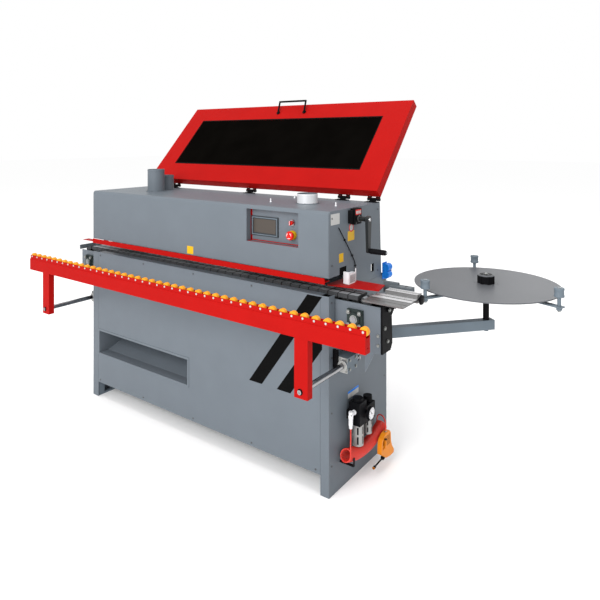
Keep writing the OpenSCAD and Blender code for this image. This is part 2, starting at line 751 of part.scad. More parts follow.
module air_unit() placed() color(near_black) {
  block([cab_w, bowl_y[0] - 30, 290], [air_x - 20, bowl_y[1] + 26, 330]);
  difference() {
    union() {
      block([air_x - 28, bowl_y[0] - 30, 270], [air_x + 28, bowl_y[0] + 30, 372]);
      block([air_x - 25, bowl_y[0] + 29, 262], [air_x + 25, bowl_y[1] + 26, 336]);
      bar_z([air_x, bowl_y[0], 371], 24, 14);
    }
    bar_z([air_x, bowl_y[1], 316], 6 + fit, 30);
  }
  bar_z([air_x, bowl_y[0], 175], 25, 96);
  bar_z([air_x, bowl_y[1], 190], 19, 73);
  bar_x([air_x + 24, 212, 312], 8, 16);
  bar_x([air_x + 38, 212, 312], 29, 12);
  bar_y([air_x, coupling_y - 8, 330], 8, bowl_y[0] - 30 - coupling_y + 9);
  bar_z([air_x, coupling_y, coupling_z[0] + 14], 9, coupling_z[1] - coupling_z[0] - 14);
  bar_z([air_x, coupling_y, coupling_z[0]], 5.5, 20);
  for (y = [coil_y[0] + 18, coil_y[1] - 18]) {
    block([cab_w, y - 6, coil_z - coil_r - 18], [coil_x + 34, y + 6, coil_z - coil_r - 13]);
    block([coil_x + 31, y - 6, coil_z - coil_r - 18], [coil_x + 34, y + 6, coil_z - 10]);
  }
  block([gun_x - 5.5, 325, 141], [gun_x - 1.5, coil_y[1] - 12, 150]);
  bar_x([gun_x - 4, 331, 146.6], 3, gun_w + 12);
  bar_x([gun_x + gun_w + 6, 331, 146.6], 5, 3);
}

module regulator_knob() placed() color(near_black) {
  bar_z([air_x, bowl_y[1], 318], 6, 22);
  bar_z([air_x, bowl_y[1], 338], 20, 26);
}

module hose_ends() placed() color(signal_red) {
  tube(lead_path, hose_r, 10);
  tube(tail_path, hose_r, 10);
}

module hose_coil() placed() color(signal_red) tube([for (t = [0 : 0.1 : 1])
  [coil_x, coil_y[0] + (coil_y[1] - coil_y[0]) * t, coil_z - 4 * coil_sag * t * (1 - t)]],
  coil_r, 12);

module blow_gun() placed() color(roller_orange) {
  difference() {
    along_x(gun_x, gun_w) polygon([[300, 84], [345, 52], [388, 44], [422, 44], [426, 58],
      [404, 88], [396, 112], [393, 152], [382, 166], [340, 166], [312, 152], [303, 140],
      [298, 104]]);
    along_x(gun_x - 1, gun_w + 2) polygon([[309, 102], [336, 100], [341, 118], [340, 152],
      [322, 148], [312, 138]]);
  }
  difference() {
    block([gun_x + 5, 314, 96], [gun_x + gun_w - 5, 330, 114]);
    block([gun_x + 8, 300, 101], [gun_x + gun_w - 8, 340, 120]);
  }
  bar_x([gun_x + 6, trigger_y, trigger_z], 2, gun_w - 12);
  translate([gun_x + gun_w / 2, 350, 57]) rotate([94.9, 0, 0]) cylinder(r = 3, h = 98);
  translate([gun_x + gun_w / 2, 350, 57]) rotate([94.9, 0, 0]) translate([0, 0, 96])
    cylinder(r = 6, h = 14);
  bar_z([gun_x + gun_w / 2, 360, 158], 5.5, 14);
}

module gun_trigger() placed() color(side_grey) difference() {
  along_x(gun_x + 8.5, gun_w - 17) polygon([[318, 103], [326, 103], [327, 112], [324, 128],
    [323, 142], [318, 142], [317, 126], [319, 112]]);
  bar_x([gun_x, trigger_y, trigger_z], 2 + fit, gun_w);
}

module power_inlet() placed() color([0.05, 0.25, 0.75]) {
  block([cab_w, 488, 850], [cab_w + 5, 530, 932]);
  for (z = [874, 910]) bar_y([cab_w + 19.5, 486, z], 18.5, 40);
  block([cab_w + 11, 525, 880], [cab_w + 27, 538, 905]);
}

module sensor_cable() placed() color(near_black) tube(cable_path, cable_r, 8);

module tape_guide() placed() color("white") {
  block([cab_w, 118, 905], [cab_w + 28, 128, 957]);
  block([cab_w + 8, 120, 902.5], [cab_w + 28, 175, 950]);
  block([cab_w, 150, 930], [cab_w + 9, 172, 944]);
  bar_z([cab_w + 20, 192, 902.5], 2.5, 60);
  block([cab_w + 14, 174, 906], [cab_w + 22, 193, 912]);
}

// ---------------------------------------------------- units under the hood

module pressure_beam() placed() color(steel) {
  block([60, 62, 930], [1650, 138, 936]);
  for (y = [66, 128]) block([60, y, 935], [1650, y + 6, 990]);
  for (i = [0 : 23]) {
    bar_y([110 + i * 64, 74, 922], 26, 52);
    block([106 + i * 64, 71, 918], [114 + i * 64, 129, 931]);
  }
  for (x = column_x) bar_z([x, chain_y, 935], column_r, 250);
}

// A motor on a foot that stands on the bed, lying along Y
module lying_motor(x, z, r, y0, l) {
  difference() {
    union() {
      bar_y([x, y0, z], r, l);
      block([x - r + 4, y0 + 20, unit_top], [x + r - 4, y0 + l - 30, z]);
      block([x - 18, y0 + 40, z + r - 6], [x + 18, y0 + 90, z + r + 16]);
    }
    bar_y([x, y0 - 1, z], 6 + fit, 40);
  }
}

module unit_motors() placed() color(tube_blue) {
  lying_motor(trim_x[0], trim_z[0], 38, 235, 190);
  lying_motor(trim_x[1], trim_z[1], 38, 235, 190);
  lying_motor(buff_x[0], buff_z[0], 34, 235, 170);
  lying_motor(buff_x[1], buff_z[1], 26, 235, 170);
  difference() {
    union() {
      bar_z([press_x, press_y, 1010], 46, 150);
      block([press_x - 55, press_y - 46, 992], [press_x + 55, 420, 1011]);
      block([press_x - 50, 330, unit_top], [press_x + 50, 420, 1011]);
    }
    bar_z([press_x, press_y, 990], 8 + fit, 60);
  }
  difference() {
    union() {
      block([knife_x - 40, 250, unit_top], [knife_x + 40, 430, 850]);
      block([knife_x - 40, 250, 849], [knife_x - 14, 430, 1000]);
      block([knife_x + 14, 250, 849], [knife_x + 40, 430, 1000]);
      block([knife_x - 40, 250, 972], [knife_x + 40, 430, 1000]);
    }
    block([knife_x - 9, 200, 851], [knife_x + 9, 500, 971]);
  }
}

module glue_pot() placed() color(steel) difference() {
  union() {
    block([glue_x + 40, 240, unit_top], [glue_x + 190, 400, 1080]);
    block([glue_x + 36, 236, 1079], [glue_x + 194, 404, 1094]);
    block([glue_x - 40, glue_y - 24, 985], [glue_x + 60, 330, 1003]);
    block([glue_x - 40, 300, unit_top], [glue_x - 10, 330, 1000]);
  }
  bar_z([glue_x, glue_y, 980], 8 + fit, 30);
}

module glue_roller() placed() color(alu) {
  bar_z([glue_x, glue_y, 872], glue_r, 80);
  bar_z([glue_x, glue_y, 951], 8, 75);
  bar_z([glue_x, glue_y, 1005], 20, 10);
}

module press_roller() placed() color([0.2, 0.2, 0.2]) {
  bar_z([press_x, press_y, 872], press_r, 62);
  bar_z([press_x, press_y, 933], 8, 100);
}

module guillotine_blade() placed() color(alu) {
  block([knife_x - 8.9, 236, 852], [knife_x + 8.9, 400, 970]);
  block([knife_x - 4, 216, 866], [knife_x + 4, 237, 960]);
}

// A tool on a short shaft in front of its motor
module cutter(x, z, r, w, tips) {
  bar_y([x, tool_y, z], 6, 104);
  if (tips > 0) translate([x, tool_y + w, z]) rotate([90, 0, 0])
    linear_extrude(height = w) difference() {
      circle(r = r);
      for (i = [0 : tips - 1]) rotate(360 * i / tips) translate([r - 8, 0]) square([12, 9]);
    }
  else bar_y([x, tool_y, z], r, w);
}

module trim_cutter_top() placed() color(alu) cutter(trim_x[0], trim_z[0], 33, 18, 4);
module trim_cutter_bottom() placed() color(alu) cutter(trim_x[1], trim_z[1], 33, 18, 4);
module buff_wheel_top() placed() color("white") cutter(buff_x[0], buff_z[0], 46, 24, 0);
module buff_wheel_bottom() placed() color("white") cutter(buff_x[1], buff_z[1], 46, 24, 0);

module electrical_box() placed() color(side_grey) {
  block([1080, 390, 220], [1560, cab_d - sheet - 1, 620]);
  block([1085, 384, 225], [1555, 391, 615]);
  block([1060, 400, 135], [1090, 500, 240]);
  block([1550, 400, 135], [1580, 500, 240]);
}

module infeed_fence() placed() color(side_grey) {
  block([1885, 222, 862], [1988, 262, 901]);
  block([1844, 244, 862], [1916, 262, 910]);
}

module fence_knob() placed() color(near_black) {
  bar_x([2016, knob_y, knob_z], 4, 36);
  translate([table_x[1] + 4, knob_y, knob_z]) rotate([0, 90, 0]) rotate_extrude()
    polygon([[0, 0], [9, 0], [19, 4], [21, 9], [18, 14], [0, 16]]);
}

welded_frame();
left_side_panel();
right_side_panel();
front_panel();
storage_tray();
rear_panel();
conveyor_beam();
chain_pads();
flange_bearings();
end_bracket();
infeed_table();
outfeed_plate();
guard_strips();
hood_cover();
hood_ends();
control_recess();
touch_panel();
dust_ports();
position_indicator();
hinge_brackets();
support_bushes();
air_unit();
hose_ends();
hose_coil();
blow_gun();
reel_bracket();
power_inlet();
sensor_cable();
tape_guide();
glue_pot();
unit_motors();
drive_motor();
electrical_box();
lid_frame();
lid_window();
lid_handle();
height_crank();
crank_grip();
support_beam();
support_rollers();
support_rods();
reel_arm();
reel_disc();
guide_rollers();
drive_sprocket();
idler_sprocket();
estop_button();
selector_knob();
gun_trigger();
pressure_beam();
glue_roller();
press_roller();
guillotine_blade();
trim_cutter_top();
trim_cutter_bottom();
buff_wheel_top();
buff_wheel_bottom();
infeed_fence();
fence_knob();
regulator_knob();
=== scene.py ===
import math

import bmesh
import bpy
from mathutils import Matrix, Vector


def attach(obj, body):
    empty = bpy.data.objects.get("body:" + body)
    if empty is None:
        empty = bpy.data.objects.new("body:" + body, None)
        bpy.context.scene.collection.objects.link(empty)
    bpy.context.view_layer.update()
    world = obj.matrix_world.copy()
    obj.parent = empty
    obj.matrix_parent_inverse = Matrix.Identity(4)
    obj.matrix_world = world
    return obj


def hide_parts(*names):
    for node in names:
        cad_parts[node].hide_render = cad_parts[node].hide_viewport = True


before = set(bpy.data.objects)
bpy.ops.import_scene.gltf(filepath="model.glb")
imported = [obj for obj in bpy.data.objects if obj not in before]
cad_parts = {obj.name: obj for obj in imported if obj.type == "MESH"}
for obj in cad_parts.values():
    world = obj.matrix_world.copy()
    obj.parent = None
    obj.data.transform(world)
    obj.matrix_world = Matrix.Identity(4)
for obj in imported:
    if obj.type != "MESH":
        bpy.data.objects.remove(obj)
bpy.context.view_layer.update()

# ------------------------------------------------------------------ the machine's own frame
# Lengths below are millimetres from the cabinet's front left corner on the floor.
ORIGIN = Vector((1167.0844, 346.1632, 0.0))
MM = 0.001
SMOOTH, BEVEL_FROM = math.radians(35), math.radians(50)
X, Y, Z = Vector((1, 0, 0)), Vector((0, 1, 0)), Vector((0, 0, 1))

# Cabinet and hood
CAB_W, CAB_D, HOOD_TOP = 1710, 534, 1237
# Chain: its pads' pitch, height and width, and the two wheels it runs round
PAD_PITCH, PAD_H, PAD_Y, PAD_TOP, WHEEL_TEETH = 52, 32, (60, 144), 878, 7
PITCH_R = PAD_PITCH / (2 * math.sin(math.pi / WHEEL_TEETH))
CHAIN_Z = PAD_TOP - PAD_H - PITCH_R
DRIVE_X, IDLER_X = -105, 1814
# Roller support in front of the cabinet
BEAM_X0, BEAM_Y = -213, -281
ROLLERS, ROLLER_PITCH, ROLLER_R, ROLLER_Z = 43, 53.1, 17.5, 860.5
ROD_X, ROD_Z, ROD_R = (-50, 1760), 576, 12.5
# Lid: its hinge line, its angle when raised, and where its sheet starts from that line
HINGE_Y, HINGE_Z, LID_ANGLE = 466, 1250, math.radians(47.8)
HINGE_X, HINGE_SCREWS, KNUCKLE_R, PIN_R = (220, 865, 1500, 1675), (-24, 24), 8, 4
LID_U0, LID_V0 = 12, 4
# Reel: the middle of its disc's underside, its hub, post and guide rollers
REEL = Vector((2182, 634, 866))
GUIDE_ANGLES, GUIDE_R = (117, 243, 341), 364
DISC_T, HUB_R, HUB_TOP, POST_R, POST_Z = 5, 37, 42, 14.2, (-166, -26)
ARM_LENGTH, ARM_ANGLE = 581, math.radians(41)
# Control recess with its button and its selector, as X and Z
RECESS_X, RECESS_Z = (1238, 1546), (1064, 1219)
STOP_AT, SELECTOR_AT = (1488, 1110), (1486, 1167)
# Air unit on the right side, and its blow gun
AIR_X, BOWL_Y = 1752, (174, 264)
GUN_X, GUN_W = 1784, 22
# Dust ports: X, Y and height above the hood
PORTS = ((320, 215, 132), (286, 318, 90), (1438, 224, 48))
PORT_R, LOW_PORT_H = 50, 60
# Motors of the trimming and buffing units: X, Z, radius and length
UNIT_MOTORS = ((640, 931, 38, 190), (540, 843, 38, 190), (270, 942, 34, 170), (150, 828, 26, 170))


def row(p):
    """A point of the machine's frame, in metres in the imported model's frame."""
    return (Vector(p) - ORIGIN) * MM


# ------------------------------------------------------------------ materials


NOISE_MIDDLE = (0.3, 0.7)


def new_material(name):
    m = bpy.data.materials.new(name)
    m.use_nodes = True
    return m, m.node_tree.nodes, m.node_tree.links, m.node_tree.nodes["Principled BSDF"]


def noise(nodes, links, coords, scale, detail=4.0, stretch=(1, 1, 1)):
    """Noise laid over the piece in its own coordinates; stretch makes it a brushed grain."""
    mapping = nodes.new("ShaderNodeMapping")
    mapping.inputs["Scale"].default_value = stretch
    links.new(coords.outputs["Object"], mapping.inputs["Vector"])
    n = nodes.new("ShaderNodeTexNoise")
    n.inputs["Scale"].default_value = scale
    n.inputs["Detail"].default_value = detail
    links.new(mapping.outputs["Vector"], n.inputs["Vector"])
    return n


def ramp(nodes, links, source, low, high):
    """Spreads the middle of a noise's values over low to high."""
    r = nodes.new("ShaderNodeMapRange")
    r.inputs["To Min"].default_value = low
    r.inputs["To Max"].default_value = high
    r.inputs["From Min"].default_value = NOISE_MIDDLE[0]
    r.inputs["From Max"].default_value = NOISE_MIDDLE[1]
    links.new(source, r.inputs["Value"])
    return r


def surface(name, colour, rough, metal=0.0, grain=900.0, bump=0.02, tint=0.06, spread=0.08,
            stretch=(1, 1, 1), coat=0.0, patch=7.0, sheen=0.0, shine=0.15):
    """Base colour with patchy tint, uneven roughness and a fine grain in the bump."""
    m, nodes, links, bsdf = new_material(name)
    coords = nodes.new("ShaderNodeTexCoord")
    patches = noise(nodes, links, coords, patch, 6.0, stretch)
    fine = noise(nodes, links, coords, grain, 2.0, stretch)
    mix = nodes.new("ShaderNodeMix")
    mix.data_type = "RGBA"
    mix.inputs["A"].default_value = [c * (1 - tint) for c in colour] + [1]
    mix.inputs["B"].default_value = [min(1, c * (1 + tint)) for c in colour] + [1]
    links.new(ramp(nodes, links, patches.outputs["Fac"], 0, 1).outputs[0], mix.inputs["Factor"])
    links.new(mix.outputs["Result"], bsdf.inputs["Base Color"])
    uneven = ramp(nodes, links, fine.outputs["Fac"], max(0.02, rough - spread), rough + spread)
    links.new(uneven.outputs[0], bsdf.inputs["Roughness"])
    relief = nodes.new("ShaderNodeBump")
    relief.inputs["Strength"].default_value = bump
    relief.inputs["Distance"].default_value = 0.001
    links.new(fine.outputs["Fac"], relief.inputs["Height"])
    links.new(relief.outputs["Normal"], bsdf.inputs["Normal"])
    bsdf.inputs["Metallic"].default_value = metal
    bsdf.inputs["Specular IOR Level"].default_value = shine
    bsdf.inputs["Coat Weight"].default_value = coat
    bsdf.inputs["Coat Roughness"].default_value = 0.12
    bsdf.inputs["Sheen Weight"].default_value = sheen
    return m


M = {
    "blue": surface("blue_grey_paint", (0.117, 0.136, 0.156), 0.42, bump=0.12, grain=700, tint=0.03),
    "grey": surface("dark_grey_paint", (0.095, 0.110, 0.122), 0.45, bump=0.12, grain=700, tint=0.03),
    "frame": surface("frame_paint", (0.125, 0.155, 0.182), 0.45, bump=0.10, grain=600, tint=0.05),
    "disc": surface("disc_paint", (0.096, 0.101, 0.110), 0.40, bump=0.08, grain=800, tint=0.03),
    "red": surface("red_paint", (0.335, 0.006, 0.005), 0.40, bump=0.07, grain=600, tint=0.04,
                   shine=0.02),
    "black": surface("black_paint", (0.0045, 0.0045, 0.005), 0.45, bump=0.15, grain=900, tint=0.15,
                     shine=0.04),
    "crank": surface("crank_paint", (0.012, 0.014, 0.015), 0.32, bump=0.06, grain=900, tint=0.08,
                     shine=0.25),
    "steel": surface("machined_steel", (0.26, 0.26, 0.27), 0.28, 1.0, 240, 0.05, 0.05, 0.08, (1, 14, 1)),
    "rod": surface("ground_rod", (0.34, 0.34, 0.35), 0.18, 1.0, 500, 0.03, 0.04, 0.05, (9, 1, 9)),
    "alu": surface("bright_aluminium", (0.19, 0.19, 0.19), 0.36, 0.7, 160, 0.06, 0.05, 0.08, (1, 30, 1)),
    "bowl": surface("bowl_guard", (0.34, 0.34, 0.33), 0.38, 0.6, 300, 0.04, 0.05, 0.08, (1, 1, 0.2)),
    "galvanised": surface("galvanised_sheet", (0.60, 0.61, 0.63), 0.42, 0.2, 300, 0.04, 0.08, 0.08),
    "iron": surface("bearing_iron", (0.024, 0.034, 0.032), 0.50, 0.2, 350, 0.35, 0.12, 0.1),
    "rubber": surface("pad_rubber", (0.040, 0.042, 0.045), 0.62, 0.0, 1300, 0.25, 0.15, 0.1),
    # Lighter grey for the pads' top faces: painted light, standing for lit tops beside the dark rubber
    # fronts
    "pad_top": surface("pad_tops_painted_light", (0.230, 0.245, 0.258), 0.60, 0.0, 1300, 0.25, 0.10, 0.1),
    "chain": surface("chain_steel", (0.11, 0.11, 0.11), 0.38, 1.0, 300, 0.08, 0.15, 0.12),
    "orange": surface("orange_plastic", (0.66, 0.260, 0.012), 0.36, 0.0, 700, 0.06, 0.05, 0.08),
    "gun": surface("gun_plastic", (0.72, 0.230, 0.010), 0.34, 0.0, 900, 0.10, 0.06, 0.08),
    "plastic": surface("black_plastic", (0.005, 0.005, 0.006), 0.42, 0.0, 1500, 0.15, 0.12, 0.08,
                       shine=0.05),
    "knob_red": surface("red_plastic", (0.52, 0.012, 0.008), 0.24, 0.0, 900, 0.03, 0.03, 0.05, coat=0.1),
    "yellow": surface("yellow_plastic", (0.58, 0.34, 0.010), 0.32, 0.0, 900, 0.04, 0.04, 0.06),
    "hose": surface("red_hose", (0.60, 0.030, 0.018), 0.28, 0.0, 500, 0.03, 0.06, 0.06, shine=0.4),
    "white": surface("white_plastic", (0.72, 0.72, 0.74), 0.38, 0.0, 900, 0.05, 0.03, 0.07),
    "blue_plug": surface("blue_plastic", (0.010, 0.17, 0.62), 0.36, 0.0, 900, 0.06, 0.06, 0.07),
    "window": surface("dark_window", (0.0022, 0.0019, 0.0016), 0.22, 0.0, 300, 0.01, 0.2, 0.04,
                      shine=0.0),
    "screen": surface("screen_glass", (0.066, 0.056, 0.048), 0.18, 0.0, 200, 0.0, 0.03, 0.03, shine=0.2),
    "bezel": surface("screen_bezel", (0.030, 0.036, 0.042), 0.35, 0.0, 1200, 0.08, 0.06, 0.06),
    "cloth": surface("buff_cloth", (0.42, 0.38, 0.30), 0.9, 0.0, 420, 0.9, 0.12, 0.05, (1, 5, 1),
                     sheen=0.3),
    "stripe": surface("black_film", (0.003, 0.003, 0.003), 0.40, 0.0, 900, 0.03, 0.1, 0.05, shine=0.02),
    "label": surface("blank_label", (0.42, 0.42, 0.41), 0.45, 0.0, 800, 0.03, 0.03, 0.05),
    # Planed faces made much lighter than the aluminium: real planed finish with a painted highlight
    "planed_and_painted_highlight": surface("planed_aluminium_painted_highlight", (0.60, 0.60, 0.61), 0.32, 0.4, 200, 0.05, 0.05, 0.08,
                      (1, 30, 1)),
    "chrome": surface("chrome", (0.42, 0.43, 0.44), 0.16, 1.0, 900, 0.01, 0.02, 0.04),
    "zinc": surface("zinc_plate", (0.26, 0.27, 0.26), 0.34, 0.9, 500, 0.05, 0.08, 0.08),
    "glue": surface("glue_steel", (0.27, 0.28, 0.29), 0.33, 1.0, 140, 0.12, 0.08, 0.1, (1, 1, 8)),
    # Flat black for the dark insides of holes, slots and openings: painted shade
    "painted_shade": surface("painted_hole_shade", (0.003, 0.003, 0.003), 0.80, 0.0, 900, 0.05, 0.2, 0.05, shine=0.05),
}

# Which look each CAD node wears
CAD_LOOK = {
    "blue": ("front_panel", "hood_cover", "conveyor_beam", "left_side_panel", "right_side_panel",
             "hood_ends", "rear_panel", "storage_tray", "dust_ports"),
    "frame": ("welded_frame", "drive_motor", "unit_motors", "reel_arm", "support_bushes"),
    "blue_plug": ("power_inlet",),
    "grey": ("outfeed_plate", "electrical_box", "infeed_fence"),
    "disc": ("reel_disc",),
    "alu": ("infeed_table", "glue_roller", "guillotine_blade", "trim_cutter_top",
            "trim_cutter_bottom"),
    "rubber": ("press_roller",),
    "iron": ("flange_bearings",),
    "black": ("end_bracket", "hinge_brackets", "reel_bracket",
              "lid_handle", "position_indicator"),
    "crank": ("height_crank",),
    "red": ("guard_strips", "control_recess", "lid_frame", "support_beam"),
    "bezel": ("touch_panel",),
    "plastic": ("crank_grip", "fence_knob", "regulator_knob", "air_unit", "sensor_cable"),
    "gun": ("blow_gun",),
    "white": ("tape_guide",),
    "steel": ("drive_sprocket", "idler_sprocket", "pressure_beam"),
    "chain": ("gun_trigger",),
    "rod": ("support_rods",),
    "glue": ("glue_pot",),
    "knob_red": ("estop_button", "selector_knob"),
    "window": ("lid_window",),
    "cloth": ("buff_wheel_top", "buff_wheel_bottom"),
}
# Edge rounding of the CAD nodes, in millimetres
ROUND = {
    "support_beam": 2.5, "lid_frame": 2.5, "front_panel": 0.9, "hood_cover": 0.9, "hood_ends": 0.9,
    "left_side_panel": 0.9, "right_side_panel": 0.9, "storage_tray": 1.0, "blow_gun": 3.0,
    "lid_handle": 1.5, "welded_frame": 2.0, "reel_arm": 2.0, "drive_motor": 4.0, "unit_motors": 3.0,
    "electrical_box": 2.0, "glue_pot": 3.0, "tape_guide": 1.5, "reel_disc": 1.0,
    "position_indicator": 2.0, "touch_panel": 1.5, "air_unit": 2.5, "end_bracket": 1.2,
    "height_crank": 1.5, "flange_bearings": 2.0, "infeed_table": 0.8, "support_bushes": 1.2,
}


def finish_look(obj, width):
    """Smooth shading with sharp edges kept, and edges rounded by width millimetres."""
    obj.data.set_sharp_from_angle(angle=SMOOTH)
    for polygon in obj.data.polygons:
        polygon.use_smooth = True
    if width:
        bevel = obj.modifiers.new("round", "BEVEL")
        bevel.width = width * MM
        bevel.segments = 2
        bevel.limit_method = "ANGLE"
        bevel.angle_limit = BEVEL_FROM
        bevel.harden_normals = False
        bevel.use_clamp_overlap = True


for look, names in CAD_LOOK.items():
    for name in names:
        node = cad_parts[name]
        node.data.materials.clear()
        node.data.materials.append(M[look])
        finish_look(node, ROUND.get(name, 0))


# ------------------------------------------------------------------ building pieces


def turn_to(axis):
    """The turn that takes Z to axis."""
    return Vector(axis).to_track_quat("Z", "Y").to_matrix().to_4x4()


def box(bm, low, high, turn=None):
    """A block between two corners."""
    low, high = Vector(low), Vector(high)
    size = Matrix.Diagonal(high - low).to_4x4()
    matrix = Matrix.Translation((low + high) / 2) @ size
    bmesh.ops.create_cube(bm, size=1, matrix=(turn @ matrix) if turn else matrix)


def rod(bm, p, axis, r, h, n=32, r2=None):
    """A cylinder, or a cone if r2 is given, from p along axis."""
    matrix = Matrix.Translation(Vector(p) + Vector(axis).normalized() * h / 2) @ turn_to(axis)
    bmesh.ops.create_cone(bm, cap_ends=True, segments=n, radius1=r, radius2=r if r2 is None else r2,
                          depth=h, matrix=matrix)


def lathe(bm, p, axis, profile, n=48):
    """Turns a closed or open profile of (radius, height) about axis through p."""
    matrix = Matrix.Translation(Vector(p)) @ turn_to(axis)
    rings = []
    for r, h in profile:
        if r < 1e-6:
            rings.append([bm.verts.new(matrix @ Vector((0, 0, h)))] * n)
            continue
        rings.append([bm.verts.new(matrix @ Vector((r * math.cos(2 * math.pi * k / n),
                                                    r * math.sin(2 * math.pi * k / n), h)))
                      for k in range(n)])
    for a, b in zip(rings, rings[1:]):
        for k in range(n):
            corners = []
            for v in (a[k], a[(k + 1) % n], b[(k + 1) % n], b[k]):
                if v not in corners:
                    corners.append(v)
            if len(corners) > 2:
                bm.faces.new(corners)


def prism(bm, outline, base, along, across, out, depth):
    """An outline in the plane of along and across, given thickness depth along out."""
    base, along, across, out = (Vector(v) for v in (base, along, across, out))
    low = [bm.verts.new(base + along * a + across * b) for a, b in outline]
    high = [bm.verts.new(v.co + out * depth) for v in low]
    bm.faces.new(low)
    bm.faces.new(list(reversed(high)))
    for k in range(len(low)):
        j = (k + 1) % len(low)
        bm.faces.new((low[j], low[k], high[k], high[j]))


def hex_bolt(bm, p, axis, size, washer=True):
    """A washer and a hexagon head with a rounded top; size is the thread's diameter."""
    p, axis = Vector(p), Vector(axis).normalized()
    if washer:
        rod(bm, p, axis, size * 1.05, size * 0.16, 24)
        p = p + axis * size * 0.16
    rod(bm, p, axis, size * 0.92, size * 0.5, 6)
    rod(bm, p + axis * size * 0.5, axis, size * 0.8, size * 0.12, 24, size * 0.6)


def cap_screw(bm, p, axis, r, h):
    """A socket cap screw's head with a hexagon recess."""
    lathe(bm, p, axis, ((0, 0), (r, 0), (r, h * 0.85), (r * 0.9, h), (r * 0.5, h), (r * 0.45, h * 0.5),
                        (0, h * 0.5)), 20)


def piece(name, bm, look, body, rounding=0.0, turn=None):
    """Makes the piece from a mesh in millimetres, gives it its material and its CAD body."""
    bmesh.ops.remove_doubles(bm, verts=bm.verts, dist=1e-4)
    bmesh.ops.recalc_face_normals(bm, faces=bm.faces)
    if turn:
        bm.transform(turn)
    bm.transform(Matrix.Scale(MM, 4) @ Matrix.Translation(-ORIGIN))
    mesh = bpy.data.meshes.new(name)
    bm.to_mesh(mesh)
    bm.free()
    obj = bpy.data.objects.new(name, mesh)
    bpy.context.scene.collection.objects.link(obj)
    mesh.materials.append(M[look])
    finish_look(obj, rounding)
    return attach(obj, body)


def line(name, points, r, look, body, cyclic=False):
    """A round tube along points of the machine's frame."""
    curve = bpy.data.curves.new(name, "CURVE")
    curve.dimensions = "3D"
    curve.bevel_depth = r * MM
    curve.bevel_resolution = 4
    curve.use_fill_caps = True
    spline = curve.splines.new("POLY")
    spline.points.add(len(points) - 1)
    for target, p in zip(spline.points, points):
        target.co = (*row(p), 1)
    spline.use_cyclic_u = cyclic
    curve.materials.append(M[look])
    obj = bpy.data.objects.new(name, curve)
    bpy.context.scene.collection.objects.link(obj)
    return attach(obj, body) if body else obj


LID = Matrix.Translation((0, HINGE_Y, HINGE_Z)) @ Matrix.Rotation(LID_ANGLE, 4, "X")

# ------------------------------------------------------------------ camera

CAMERA_AT = (3035, -2036, 1550)
CAMERA_TURN = (math.radians(90), 0, math.radians(36.0))
camera_data = bpy.data.cameras.new("camera")
camera_data.lens = 33.78
camera_data.sensor_width = 36
camera_data.shift_y = -0.2677
camera_data.clip_end = 60
camera = bpy.data.objects.new("camera", camera_data)
camera.location = row(CAMERA_AT)
camera.rotation_euler = CAMERA_TURN
bpy.context.scene.collection.objects.link(camera)
bpy.context.scene.camera = camera

# ------------------------------------------------------------------ spiral air hose

HOSE_R, COIL_R = 3.0, 28.7
COIL_X, COIL_Y, COIL_Z, COIL_SAG = 1748, (74, 410), 167, 36
TURNS, STEPS_PER_TURN = 46.5, 18
# From the coupling to the coil, and from the coil to the blow gun
LEAD = ((1752, 112, 270), (1752, 112, 256), (1755, 107, 242), (1761, 97, 228), (1767, 86, 214),
        (1771, 79, 200), (1773, 75, 186))
TAIL = ((1723, 410, 186), (1727, 407, 202), (1738, 401, 214), (1754, 392, 221), (1771, 382, 222),
        (1785, 372, 214), (1793, 365, 200), (1795, 360, 186), (1795, 360, 172))


def coil_axis(t):
    """The sagging middle line of the coil, for t from 0 to 1."""
    y = COIL_Y[0] + (COIL_Y[1] - COIL_Y[0]) * t
    return Vector((COIL_X, y, COIL_Z - 4 * COIL_SAG * t * (1 - t)))


def coil_point(t):
    """The hose's centre on its helix, for t from 0 to 1."""
    slope = -4 * COIL_SAG * (1 - 2 * t) / (COIL_Y[1] - COIL_Y[0])
    up = Vector((0, -slope, 1)).normalized()
    a = -2 * math.pi * TURNS * t
    return coil_axis(t) + (COIL_R - HOSE_R) * (math.cos(a) * X + math.sin(a) * up)


steps = int(TURNS * STEPS_PER_TURN)
coil = [coil_point(k / steps) for k in range(steps + 1)]
hose_path = [Vector(p) for p in LEAD] + coil + [Vector(p) for p in TAIL]
hose = line("air_hose", hose_path, HOSE_R, "hose", None)
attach(hose, "machine")
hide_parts("hose_coil", "hose_ends")

# ------------------------------------------------------------------ chain pads

run = IDLER_X - DRIVE_X
loop = 2 * run + 2 * math.pi * PITCH_R
pads = int(loop // PAD_PITCH)


def chain_place(s):
    """Centre on the pitch line, and turn about Y, at distance s along the chain."""
    arc = math.pi * PITCH_R
    if s < run:
        return DRIVE_X + s, CHAIN_Z + PITCH_R, 0
    if s < run + arc:
        a = (s - run) / PITCH_R
        return IDLER_X + PITCH_R * math.sin(a), CHAIN_Z + PITCH_R * math.cos(a), a
    if s < 2 * run + arc:
        return IDLER_X - (s - run - arc), CHAIN_Z - PITCH_R, math.pi
    a = math.pi + (s - 2 * run - arc) / PITCH_R
    return DRIVE_X + PITCH_R * math.sin(a), CHAIN_Z + PITCH_R * math.cos(a), a


PAD_LENGTH, FACE_LENGTH = 47.6, 45.2
